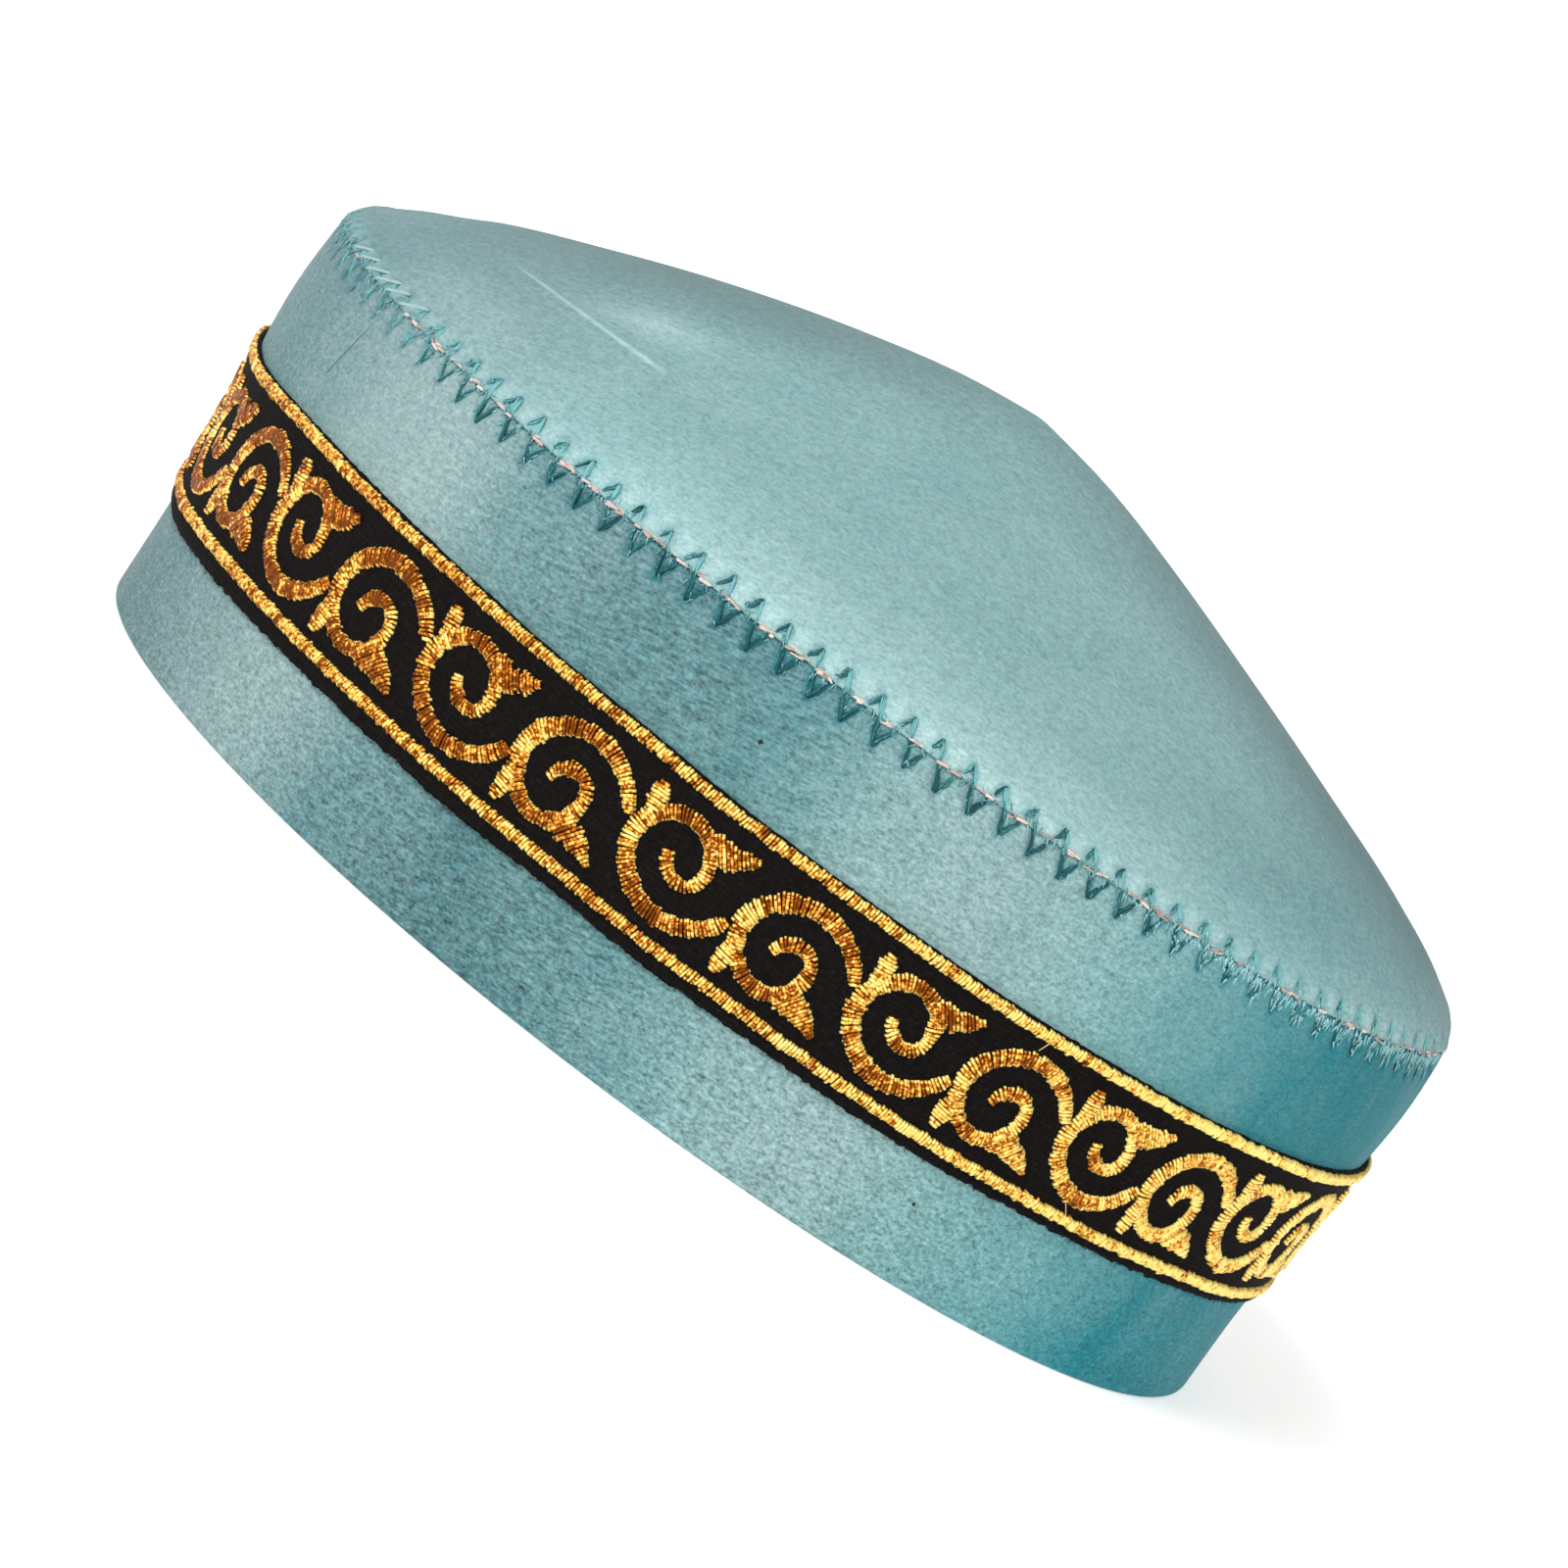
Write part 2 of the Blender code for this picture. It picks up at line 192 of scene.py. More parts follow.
class SkullcapColours(bpy.types.PropertyGroup):
    """Colours of the cloth and the threads."""

    velvet_pale: colour_property("Velvet, pale nap", "Pile that catches the light", (0.34, 0.49, 0.485))
    velvet_mid: colour_property("Velvet", "Main colour of the velvet", (0.180, 0.325, 0.332))
    velvet_deep: colour_property(
        "Velvet, deep nap", "Pile that faces away from the light", (0.014, 0.165, 0.198)
    )
    backing: colour_property("Cloth back", "Woven back of the velvet inside the cap", (0.25, 0.36, 0.36))
    ribbon: colour_property("Ribbon", "Black ribbon", (0.0055, 0.0042, 0.0040))
    gold_cream: colour_property("Gold, bright", "Gold thread where it glints", (1.0, 0.81, 0.25))
    gold_yellow: colour_property("Gold", "Main colour of the gold thread", (0.95, 0.54, 0.075))
    gold_brown: colour_property("Gold, shaded", "Gold thread where it turns down", (0.50, 0.128, 0.010))
    zigzag: colour_property("Zigzag thread", "Teal thread over the seam", (0.013, 0.100, 0.110))
    topstitch: colour_property("Seam thread", "Pale pink thread along the seam", (0.52, 0.39, 0.34))
    floor: colour_property("Floor", "Pale floor", (0.90, 0.90, 0.90))


def sizes():
    """Sizes set in the panel."""
    return bpy.context.scene.skullcap_sizes


def colours():
    """Colours set in the panel."""
    return bpy.context.scene.skullcap_colours


def fade(value, start, end):
    """0 up to the start, 1 from the end on, and even between; the end may be the lower of the two."""
    return np.clip((value - start) / (end - start), 0, 1)


def hill(value, middle, width):
    """Smooth rise and fall round a middle value."""
    return np.exp(-(((value - middle) / width) ** 2))


def summed(steps):
    """Way passed at the start and after each step."""
    return np.concatenate([[0], np.cumsum(steps)])


def smooth_curve(keys, values, at):
    """Values at the given keys, on a smooth curve through a table; level past the table's ends."""
    at = np.clip(at, keys[0], keys[-1])
    slopes = np.gradient(values, keys)
    start = np.clip(np.searchsorted(keys, at, side="right") - 1, 0, len(keys) - 2)
    span = keys[start + 1] - keys[start]
    t = (at - keys[start]) / span
    rise = values[start + 1] - values[start]
    lift_first = slopes[start] * span - rise
    lift_last = rise - slopes[start + 1] * span
    return values[start] + t * rise + t * (1 - t) * ((1 - t) * lift_first + t * lift_last)


def wall_reach(height):
    """Share of the cap's half length and half width at a height on the band."""
    return smooth_curve(WALL_HEIGHTS, WALL_REACHES, np.asarray(height) / BAND_HEIGHT)


def centre_at(height):
    """Where the middle of the cap's oval lies along its length at a height."""
    return RIM_CENTRE - BAND_LEAN * np.clip(np.asarray(height) / BAND_HEIGHT, 0, 1)


def oval(reach, offset, height, drift=0.0):
    """Centre, half length, half width and height of the cap's oval."""
    return centre_at(height) - drift, HALF_LENGTH * reach + offset, HALF_WIDTH * reach + offset, height


def wall_rings(section):
    """Ovals of the band's cross section, which is given as offsets and heights in millimetres."""
    return [oval(wall_reach(height * MM), offset * MM, height * MM) for offset, height in section]


def on_oval(angle, ring):
    """Points on an oval at angles round the cap."""
    centre, half_length, half_width, height = ring
    x = centre + half_length * np.cos(angle)
    y = half_width * np.sin(angle)
    return np.stack(np.broadcast_arrays(x, y, height), axis=-1)


def wall_slack(angle, height):
    """Slow waves of the stiff cloth round the band; they fade out at the rim."""
    share = height / BAND_HEIGHT
    wave = 0.5 * np.sin(3 * angle + 1.1) + 0.3 * np.sin(7 * angle + 5 * share)
    wave = wave + 0.3 * np.sin(11 * angle + 0.4)
    return sizes().slack * wave * fade(share, -0.35, 0.65) * np.clip((1.02 - share) * 12, 0, 1)


def end_bulge(angle, height):
    """The stiff cloth pushed out or in at the cap's two ends, by the height."""
    left = hill((angle + 0.03 * TURN) % TURN, math.pi, 0.55) * smooth_curve(BULGE_AT, LEFT_BULGE, height)
    right = hill((angle + math.pi) % TURN, math.pi, 0.5) * smooth_curve(BULGE_AT, RIGHT_BULGE, height)
    return left + right


def crown_bulge(angle, rise):
    """The ends' bulge carried on over the crown's shoulder."""
    return end_bulge(angle, BAND_HEIGHT) * fade(rise, 22 * MM, 0)


def crown_drop(x, y, rise):
    """How far the crown sits lower than its even shape, across the cap and up from the seam; none behind."""
    return smooth_curve(DROP_AT, CROWN_DROP, x) * fade(rise, 0, 6 * MM) * fade(y, 0.065, 0.015)


def wall_points(angle, height, offset):
    """Points on the band at an offset from the cloth's outside."""
    slack = wall_slack(angle, height) + end_bulge(angle, height)
    return on_oval(angle, oval(wall_reach(height), offset + slack, height))


def sway(angle, table, behind=0.0):
    """One of the ribbon's wandering tables at angles round the cap; it settles to one value behind."""
    front = np.clip(-3 * np.sin(angle), 0, 1)
    return behind + front * (smooth_curve(SWAY_AT, table, HALF_LENGTH * np.cos(angle)) - behind)


def ribbon_sway(angle, height):
    """How far the ribbon's lines are sewn off level at a height."""
    share = fade(height, LOWER_BORDER[0], UPPER_BORDER[1])
    return sway(angle, SWAY_LOWER) * (1 - share) + sway(angle, SWAY_UPPER) * share


class Girth:
    """Way round the cap from its front at a height and an offset, and the angle at each point of it."""

    def __init__(self, height, offset):
        self.angles = np.linspace(-TURN / 4, 3 * TURN / 4, 2881)
        points = on_oval(self.angles, oval(wall_reach(height), offset, height))
        self.passed = summed(np.linalg.norm(np.diff(points, axis=0), axis=1))
        self.whole = self.passed[-1]

    def angle_at(self, passed):
        """Angles at which so much of the girth is passed."""
        return np.interp(passed % self.whole, self.passed, self.angles)

    def passed_at(self, angle):
        """Girth passed at angles round the cap."""
        return np.interp((angle + TURN / 4) % TURN - TURN / 4, self.angles, self.passed)


def crown_table():
    """Distance up the crown from its seam, with the reach, the height and the way out at each."""
    steps = np.hypot(np.diff(CROWN_REACHES) * MEAN_RADIUS, np.diff(CROWN_RISES) * DRAWN_CROWN_RISE)
    along = summed(steps)
    at = along[-1] * np.linspace(0, 1, 1201) ** 1.6
    reach = np.clip(smooth_curve(along, CROWN_REACHES, at), 0, None)
    height = CROWN_FOOT + smooth_curve(along, CROWN_RISES, at) * CROWN_RISE
    passed = summed(np.hypot(np.diff(reach) * MEAN_RADIUS, np.diff(height)))
    inward = np.gradient(reach * MEAN_RADIUS, passed)
    upward = np.gradient(height, passed)
    slope = np.hypot(inward, upward)
    return dict(passed=passed, reach=reach, height=height, out=upward / slope, up=-inward / slope)


CROWN = crown_table()
SEAM = Girth(BAND_HEIGHT, 0.0)
RIBBON = Girth(SCROLL_MIDDLE, RIBBON_FACE)


def crown_at(passed, *names):
    """Values of the crown's table at distances up from the seam."""
    values = [np.interp(passed, CROWN["passed"], CROWN[name]) for name in names]
    return values[0] if len(names) == 1 else values


def crown_ring(passed, depth):
    """Oval of the crown at a distance up from the seam and a depth under its outside."""
    reach, height, out, up = crown_at(passed, "reach", "height", "out", "up")
    return oval(reach * wall_reach(BAND_HEIGHT), -depth * out, height - depth * up, APEX_DRIFT * (1 - reach))


def seam_points(girth, rise, lift):
    """Points by the crown's seam: how far round, how far above or below the seam, and how far out."""
    angle = SEAM.angle_at(girth)
    above = rise > 0
    up_crown = np.clip(rise, 0, None)
    low = BAND_HEIGHT + rise
    share, height, out, up = crown_at(up_crown, "reach", "height", "out", "up")
    reach = np.where(above, share * wall_reach(BAND_HEIGHT), wall_reach(low))
    height = np.where(above, height + lift * up, low)
    drift = np.where(above, APEX_DRIFT * (1 - share), 0.0)
    offset = lift * np.where(above, out, 1.0) + np.where(above, 0.0, wall_slack(angle, low))
    places = on_oval(angle, oval(reach, offset + crown_bulge(angle, up_crown), height, drift))
    places[..., 2] -= crown_drop(places[..., 0], places[..., 1], up_crown)
    return places


def zigzag():
    """Count and pitch of the zigzag, its lower and upper corner, and its two legs, round and up from the seam."""
    count = round(SEAM.whole / sizes().zigzag_pitch)
    pitch = SEAM.whole / count
    tip = (0.21 * pitch, -sizes().zigzag_drop)
    peak = (0.78 * pitch, sizes().zigzag_rise)
    legs = ((tip, peak), ((peak[0] - pitch, peak[1]), tip))
    return SimpleNamespace(count=count, pitch=pitch, tip=tip, peak=peak, legs=legs)


def zigzag_distance(girth, rise):
    """Distance from points by the seam to the zigzag thread."""
    line = zigzag()
    along = girth % line.pitch
    nearest = np.full(np.shape(along), 1.0)
    for shift in (-1, 0, 1):
        for start, end in line.legs:
            ax, ay = start[0] + shift * line.pitch, start[1]
            dx, dy = end[0] - start[0], end[1] - start[1]
            share = np.clip(((along - ax) * dx + (rise - ay) * dy) / (dx * dx + dy * dy), 0, 1)
            nearest = np.minimum(nearest, np.hypot(along - ax - share * dx, rise - ay - share * dy))
    return nearest


def seam_dent(girth, rise):
    """How far the seam's threads pull the velvet in, and the gathers between them."""
    line = zigzag()
    dent = 0.42 * MM * hill(zigzag_distance(girth, rise), 0, 0.62 * MM)
    dent = dent * (1 - 0.6 * hill(rise, 0.2 * MM, 0.8 * MM))
    gather = 0.13 * MM * np.sin(TURN * (girth - line.tip[0]) / line.pitch) * hill(rise, 0, 4.5 * MM)
    return dent - gather


def groove_shade_of(girth, rise):
    """Painted shade in the pile where the zigzag sinks into it, and along the seam line."""
    line = 0.95 * hill(zigzag_distance(girth, rise), 0, 0.62 * MM)
    line = line * (1 - 0.75 * hill(rise, 0.2 * MM, 0.9 * MM))
    return np.clip(line + 0.22 * hill(rise, 0, 0.55 * MM), 0, 1.2)


def on_ribbon(girth, height, lift):
    """Places over the ribbon's face: how far round, how high, and how far out."""
    angle = RIBBON.angle_at(girth)
    return wall_points(angle, height + ribbon_sway(angle, height), RIBBON_FACE + lift - 0.04 * MM)


def on_scroll(girth, height, lift):
    """Places over the ribbon's face, with the scroll's own wandering along it."""
    return on_ribbon(girth + sway(RIBBON.angle_at(girth), SCROLL_SWAY, -0.8 * MM), height, lift)


def by_seam(sunk):
    """Places by the seam that lie so much lower."""
    return lambda girth, rise, lift: seam_points(girth, rise, lift - sunk)


def wavering_seam(girth, rise, lift):
    """Places by the seam for a hand-worked thread: it wanders, and sinks into the pile here and there."""
    aside = 0.13 * MM * np.sin(rise / (0.62 * MM) + girth / (3.1 * MM))
    sunk = 0.30 * MM + 0.15 * MM * np.sin(girth / (0.31 * MM) + rise / (0.55 * MM))
    sunk = sunk + 0.34 * MM * hill(rise, 0.1 * MM, 0.75 * MM)
    return seam_points(girth + aside, rise + 0.1 * MM * np.sin(girth / (0.71 * MM)), lift - sunk)


def start_piece():
    """Leaves nothing selected before a new primitive is added."""
    if bpy.context.object and bpy.context.object.mode != "OBJECT":
        bpy.ops.object.mode_set(mode="OBJECT")
    bpy.ops.object.select_all(action="DESELECT")


def edit_piece(select_by, action="SELECT"):
    """Opens the active piece in edit mode with everything or nothing selected."""
    bpy.ops.object.mode_set(mode="EDIT")
    bpy.ops.mesh.select_mode(type=select_by)
    bpy.ops.mesh.select_all(action=action)


def close_piece(inside=False):
    """Turns all the faces outwards or inwards, and leaves edit mode with the piece shaded smooth."""
    bpy.ops.mesh.select_all(action="SELECT")
    bpy.ops.mesh.normals_make_consistent(inside=inside)
    bpy.ops.object.mode_set(mode="OBJECT")
    bpy.ops.object.shade_smooth()


def extrude_rings(name, rings, filled, closing):
    """Wall drawn out ring by ring from an oval; closing is 'bridge', 'pole' or 'open'."""
    start_piece()
    rings = [tuple(float(part) for part in ring) for ring in rings]
    centre, half_length, half_width, height = rings[0]
    bpy.ops.mesh.primitive_circle_add(
        vertices=sizes().around, radius=1, fill_type="TRIFAN" if filled else "NOTHING", location=(0, 0, 0)
    )
    piece = bpy.context.object
    piece.name = piece.data.name = name
    edit_piece("EDGE")
    bpy.ops.transform.resize(value=(half_length, half_width, 1), center_override=(0, 0, 0))
    bpy.ops.transform.translate(value=(centre, 0, height))
    if filled:
        bpy.ops.mesh.region_to_loop()
    for ring, before in zip(rings[1:], rings):
        step = (ring[0] - before[0], 0, ring[3] - before[3])
        bpy.ops.mesh.extrude_region_move(TRANSFORM_OT_translate={"value": step})
        bpy.ops.transform.resize(
            value=(ring[1] / before[1], ring[2] / before[2], 1), center_override=(ring[0], 0, ring[3])
        )
    if closing == "pole":
        bpy.ops.mesh.merge(type="CENTER")
    if closing == "bridge":
        bpy.ops.mesh.select_all(action="DESELECT")
        bpy.ops.mesh.select_non_manifold()
        bpy.ops.mesh.bridge_edge_loops()
    close_piece()
    return piece


def places_of(items, name="co"):
    """One vector of each vertex or face."""
    places = np.empty(len(items) * 3)
    items.foreach_get(name, places)
    return places.reshape(-1, 3)


def move_vertices(piece, places):
    """Puts a mesh's vertices at new places."""
    piece.data.vertices.foreach_set("co", places.ravel())
    piece.data.update()


def round_and_out(places):
    """Angle round the cap at each place, and its way from the axis as a share of the oval."""
    along = (places[:, 0] - centre_at(places[:, 2])) / HALF_LENGTH
    deep = places[:, 1] / HALF_WIDTH
    return np.arctan2(deep, along), np.hypot(along, deep)


def push_out(places, angle, distance):
    """Places moved level, away from the cap's axis."""
    moved = places.copy()
    across = np.stack([np.cos(angle) / HALF_LENGTH, np.sin(angle) / HALF_WIDTH], axis=1)
    across /= np.linalg.norm(across, axis=1)[:, None]
    moved[:, :2] += across * np.asarray(distance)[:, None]
    return moved


def store(piece, **numbers):
    """Keeps numbers for each vertex, for the materials."""
    for name, values in numbers.items():
        values = np.broadcast_to(np.asarray(values, float), len(piece.data.vertices))
        piece.data.attributes.new(name, "FLOAT", "POINT").data.foreach_set("value", values.copy())


def paint_inside(piece, velvet, inside_faces):
    """Velvet outside, and the cloth's woven back on the faces that look into the cap."""
    for material in (velvet, backing_finish()):
        piece.data.materials.append(material)
    for index in np.nonzero(inside_faces)[0]:
        piece.data.polygons[int(index)].material_index = 1


def settle(piece, node=None, material=None):
    """Gives a finished piece its material and its body, and hides the imported part that it stands for."""
    if material:
        piece.data.materials.append(material)
    if node:
        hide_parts(node)
    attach(piece, "root")


def select_vertices(piece, wanted):
    """Selects the vertices of the piece in edit mode whose place fits."""
    shape = bmesh.from_edit_mesh(piece.data)
    for vert in shape.verts:
        vert.select_set(bool(wanted(vert.co)))
    shape.select_flush(True)
    bmesh.update_edit_mesh(piece.data)


def take_shape(piece):
    """Leaves edit mode, takes the piece's points and faces and removes it."""
    bpy.ops.object.mode_set(mode="OBJECT")
    mesh = piece.data
    shape = places_of(mesh.vertices), [tuple(face.vertices) for face in mesh.polygons]
    bpy.data.objects.remove(piece)
    bpy.data.meshes.remove(mesh)
    return shape


def model_thread(cuts):
    """One thread on the flat: a bar cut across, narrowed along its top and brought down at its ends."""
    start_piece()
    bpy.ops.mesh.primitive_cube_add(size=1, location=(0, 0, 0.5))
    bar = bpy.context.object
    bpy.ops.object.transform_apply(location=True, rotation=True, scale=True)
    edit_piece("EDGE", "DESELECT")
    shape = bmesh.from_edit_mesh(bar.data)
    for edge in shape.edges:
        edge.select_set(abs(edge.verts[0].co.x - edge.verts[1].co.x) > 0.5)
    bmesh.update_edit_mesh(bar.data)
    bpy.ops.mesh.subdivide(number_cuts=cuts)
    bpy.ops.mesh.select_mode(type="VERT")
    inner_end = 0.5 - 1 / (cuts + 1)
    for wanted, size, middle in (
        (lambda co: co.z > 0.9, (1, 0.5, 1), (0, 0, 1)),
        (lambda co: abs(co.x) < 0.49, (0.36 / inner_end, 1, 1), (0, 0, 0)),
        (lambda co: abs(co.x) > 0.49, (1, 0.62, 0.42), (0, 0, 0)),
    ):
        select_vertices(bar, wanted)
        bpy.ops.transform.resize(value=size, center_override=middle)
    return take_shape(bar)


def model_tuft():
    """One lock of pile: a slip that narrows to its tip and curls over."""
    start_piece()
    bpy.ops.mesh.primitive_cone_add(
        vertices=3, radius1=0.5, radius2=0.12, depth=1, location=(0, 0, 0), rotation=(0, TURN / 4, 0)
    )
    lock = bpy.context.object
    bpy.ops.object.transform_apply(location=True, rotation=True, scale=True)
    bpy.ops.object.mode_set(mode="EDIT")
    bpy.ops.mesh.select_mode(type="VERT")
    select_vertices(lock, lambda co: co.x > 0)
    bpy.ops.transform.translate(value=(0, 0, 0.9))
    return take_shape(lock)


def lay_threads(name, thread, starts, ends, width, relief, place, tone, shaded=0.0):
    """Copies of one thread, each laid from its start to its end, in one mesh."""
    points, faces = thread
    count = len(starts)
    span = ends - starts
    length = np.linalg.norm(span, axis=1)
    ahead = span / length[:, None]
    side = np.stack([-ahead[:, 1], ahead[:, 0]], axis=1)
    width = np.broadcast_to(width, count)
    relief = np.broadcast_to(relief, count)
    flat = (
        starts[:, None, :]
        + span[:, None, :] * (points[None, :, 0, None] + 0.5)
        + side[:, None, :] * (points[None, :, 1, None] * width[:, None, None])
    )
    lift = points[None, :, 2] * relief[:, None]
    places = place(flat[..., 0], flat[..., 1], lift).reshape(-1, 3)
    corners = np.array([corner for face in faces for corner in face])
    all_corners = (corners[None, :] + np.arange(count)[:, None] * len(points)).ravel()
    face_sizes = np.tile([len(face) for face in faces], count)
    mesh = bpy.data.meshes.new(name)
    mesh.vertices.add(len(places))
    mesh.vertices.foreach_set("co", places.ravel())
    mesh.loops.add(len(all_corners))
    mesh.loops.foreach_set("vertex_index", all_corners)
    mesh.polygons.add(len(face_sizes))
    mesh.polygons.foreach_set("loop_start", summed(face_sizes)[:-1].astype(int))
    mesh.update(calc_edges=True)
    mesh.validate()
    mesh.shade_smooth()
    piece = bpy.data.objects.new(name, mesh)
    bpy.context.scene.collection.objects.link(piece)
    # On the gold, flank, turned_down and upright place its painted shade and painted highlights
    store(
        piece,
        tone=np.repeat(tone, len(points)),
        along=np.outer(length / MM, points[:, 0]).ravel(),
        flank=np.tile(np.abs(points[:, 1]) * 2, count),
        turned_down=np.tile(np.abs(points[:, 0]) * 2, count),
        upright=np.repeat(np.abs(ahead[:, 1]) ** 2 * shaded, len(points)),
    )
    return piece


def plug(tree, value, socket):
    """Links another node's output to a socket, or sets a value there."""
    value = getattr(value, "socket", value)
    if isinstance(value, bpy.types.NodeSocket):
        tree.links.new(value, socket)
    else:
        socket.default_value = value


class Level:
    """A node's output that can be reckoned with; every step of the sum is a Math node."""

    def __init__(self, tree, socket):
        self.tree = tree
        self.socket = socket

    def step(self, operation, first, second=0.0, clamp=False):
        """Math node with its two inputs."""
        made = self.tree.nodes.new("ShaderNodeMath")
        made.operation = operation
        made.use_clamp = clamp
        plug(self.tree, first, made.inputs[0])
        plug(self.tree, second, made.inputs[1])
        return Level(self.tree, made.outputs[0])

    def __add__(self, other):
        return self.step("ADD", self, other)

    def __sub__(self, other):
        return self.step("SUBTRACT", self, other)

    def __rsub__(self, other):
        return self.step("SUBTRACT", other, self)

    def __mul__(self, other):
        return self.step("MULTIPLY", self, other)

    def __abs__(self):
        return self.step("ABSOLUTE", self)

    def clamped(self):
        """The level kept between 0 and 1."""
        return self.step("ADD", self, clamp=True)


class Finish:
    """New material, built node by node on its shader."""

    def __init__(self, name, **inputs):
        self.made = bpy.data.materials.new(name)
        self.made.use_nodes = True
        self.tree = self.made.node_tree
        self.shader = self.tree.nodes["Principled BSDF"]
        for key, value in inputs.items():
            self.shader.inputs[key.replace("_", " ")].default_value = value

    def node(self, kind, output, inputs=None, **settings):
        """One output of a new node with its settings and its inputs."""
        made = self.tree.nodes.new(kind)
        for key, value in settings.items():
            setattr(made, key, value)
        for key, value in (inputs or {}).items():
            plug(self.tree, value, made.inputs[key])
        return Level(self.tree, made.outputs[output])

    def attribute(self, name):
        """One of the piece's own numbers."""
        return self.node("ShaderNodeAttribute", "Fac", attribute_name=name)

    def place(self, **mapping):
        """Object coordinates, stretched or turned."""
        place = self.node("ShaderNodeTexCoord", "Object")
        return self.node("ShaderNodeMapping", "Vector", {"Vector": place, **mapping}) if mapping else place

    def noise(self, place, scale, detail=2.0, roughness=0.5):
        """Noise Texture, round 0."""
        inputs = {"Vector": place, "Scale": scale, "Detail": detail, "Roughness": roughness}
        return self.node("ShaderNodeTexNoise", "Fac", inputs) - 0.5

    def weave(self, scale, distortion, direction):
        """Even ribs of thread."""
        inputs = {"Vector": self.place(), "Scale": scale, "Distortion": distortion, "Detail": 1.0}
        return self.node("ShaderNodeTexWave", "Fac", inputs, bands_direction=direction)

    def ramp(self, factor, *stops):
        """Color Ramp with stops of place and colour."""
        colour = self.node("ShaderNodeValToRGB", "Color", {"Fac": factor})
        elements = colour.socket.node.color_ramp.elements
        while len(elements) < len(stops):
            elements.new(0.5)
        for element, (place, tint) in zip(elements, stops):
            element.position = place
            element.color = (*tint, 1)
        return colour

    def shade(self, key, value):
        """Links a value to one of the shader's inputs."""
        plug(self.tree, value, self.shader.inputs[key])

    def bump(self, height, strength, distance):
        """Bumps the surface by a height."""
        inputs = {"Height": height, "Strength": strength, "Distance": distance}
        self.shade("Normal", self.node("ShaderNodeBump", "Normal", inputs))

    def near_line(self, start, end, across, width):
        """1 on a crease between two points, which thins out to its ends, falling to 0 at a distance from it."""
        span = Vector(end) - Vector(start)
        deep = span.cross(Vector(across)).normalized()
        subtract = {0: self.place(), 1: start}
        away = self.node("ShaderNodeVectorMath", 0, subtract, operation="SUBTRACT")
        along, off, depth = (
            self.node("ShaderNodeVectorMath", "Value", {0: away, 1: way}, operation="DOT_PRODUCT")
            for way in (span / span.length_squared, Vector(across) / width, deep / (5 * MM))
        )
        ends = along.step("MINIMUM", along, 1.0 - along)
        off = off.step("DIVIDE", off, along + 0.75)
        return (1.0 - abs(off)).clamped() * (3.0 - abs(depth)).clamped() * (ends * 8.0).clamped()


def velvet_finish(name, contrast, patchy, brushed, crease=None):
    """Short pile: flecked grain, soft patches where the nap lies another way, and a pale sheen; the painted
    light, painted shade and painted saturation that each piece stores set its colour.
    """
    velvet = Finish(
        name, Roughness=0.82, Specular_IOR_Level=0.25,
        Sheen_Weight=0.12, Sheen_Roughness=0.45, Sheen_Tint=(0.60, 0.66, 0.66, 1),
    )
    tint = colours()
    fine = 1 / sizes().grain
    grain = velvet.noise(velvet.place(Scale=(0.7, 0.7, 1)), fine, 2.0, 0.6)
    streaks = velvet.noise(velvet.place(Scale=(0.5, 0.5, 1)), 0.6 * fine, 2.0, 0.5)
    patches = velvet.noise(velvet.place(Scale=(1, 1, 0.4)), 60, 4.0, 0.6)
    # The colour runs from the pile facing away from the light to the pile catching it: the stored nap with
    # painted light, random nap patches, less the painted shade in the seam's grooves
    level = velvet.attribute("nap") + patches * patchy - velvet.attribute("pressed") * 0.45
    colour = velvet.ramp(level, (0.0, tint.velvet_deep), (0.5, tint.velvet_mid), (1.0, tint.velvet_pale))
    fleck = grain * (contrast * 1.7) + streaks * (contrast * 1.1)
    height = grain + streaks
    if crease:
        line = velvet.near_line(*crease)
        fleck = fleck + line * 0.6
        height = height + line * 2.0
    # Painted saturation: greyer where grey sheen is painted in, deeper where painted shade lies
    dye = velvet.attribute("dye")
    mottle = velvet.noise(velvet.place(), 0.5 * fine, 1.0) * (dye - 1.35)
    greyness = dye + mottle * 1.4 - fleck * 0.2
    turned = velvet.place(Rotation=(0, math.radians(14), 0))
    laid = velvet.node("ShaderNodeMapping", "Vector", {"Vector": turned, "Scale": (0.18, 0.18, 1)})
    strokes = velvet.noise(laid, 0.95 * fine, 3.0, 0.65) * (velvet.attribute("brush") * brushed)
    # Painted shade multiplies the lightness of the grain and the strokes
    lightness = (fleck * velvet.attribute("coarse") + strokes + 1.0) * velvet.attribute("shade")
    changes = {"Saturation": greyness, "Value": lightness, "Color": colour}
    velvet.shade("Base Color", velvet.node("ShaderNodeHueSaturation", "Color", changes))
    velvet.bump(height, 0.5, 0.12 * MM)
    return velvet.made


def backing_finish():
    """Woven back of the velvet: fine crossing threads."""
    cloth = Finish("cloth_back", Roughness=0.95)
    level = cloth.weave(620, 1.5, "DIAGONAL") * 0.35 + cloth.noise(cloth.place(), 1800) * 0.8 + 0.4
    back = Vector(colours().backing)
    cloth.shade("Base Color", cloth.ramp(level, (0.2, back * 0.65), (0.9, back)))
    cloth.bump(level, 0.5, 0.1 * MM)
    return cloth.made


def ribbon_finish():
    """Black woven ribbon: fine ribs, brownish flecks and a dull lustre."""
    ribbon = Finish("black_ribbon", Roughness=0.9, Specular_IOR_Level=0.08)
    flecks = ribbon.noise(ribbon.place(), 1500, 3.0, 0.7) + 0.5
    level = ribbon.weave(420, 2.0, "Z") * 0.12 + flecks * 0.95
    black = Vector(colours().ribbon)
    ribbon.shade("Base Color", ribbon.ramp(level, (0.35, black * 0.5), (0.62, black * 1.1), (0.85, black * 3.2)))
    ribbon.bump(level, 0.6, 0.1 * MM)
    return ribbon.made


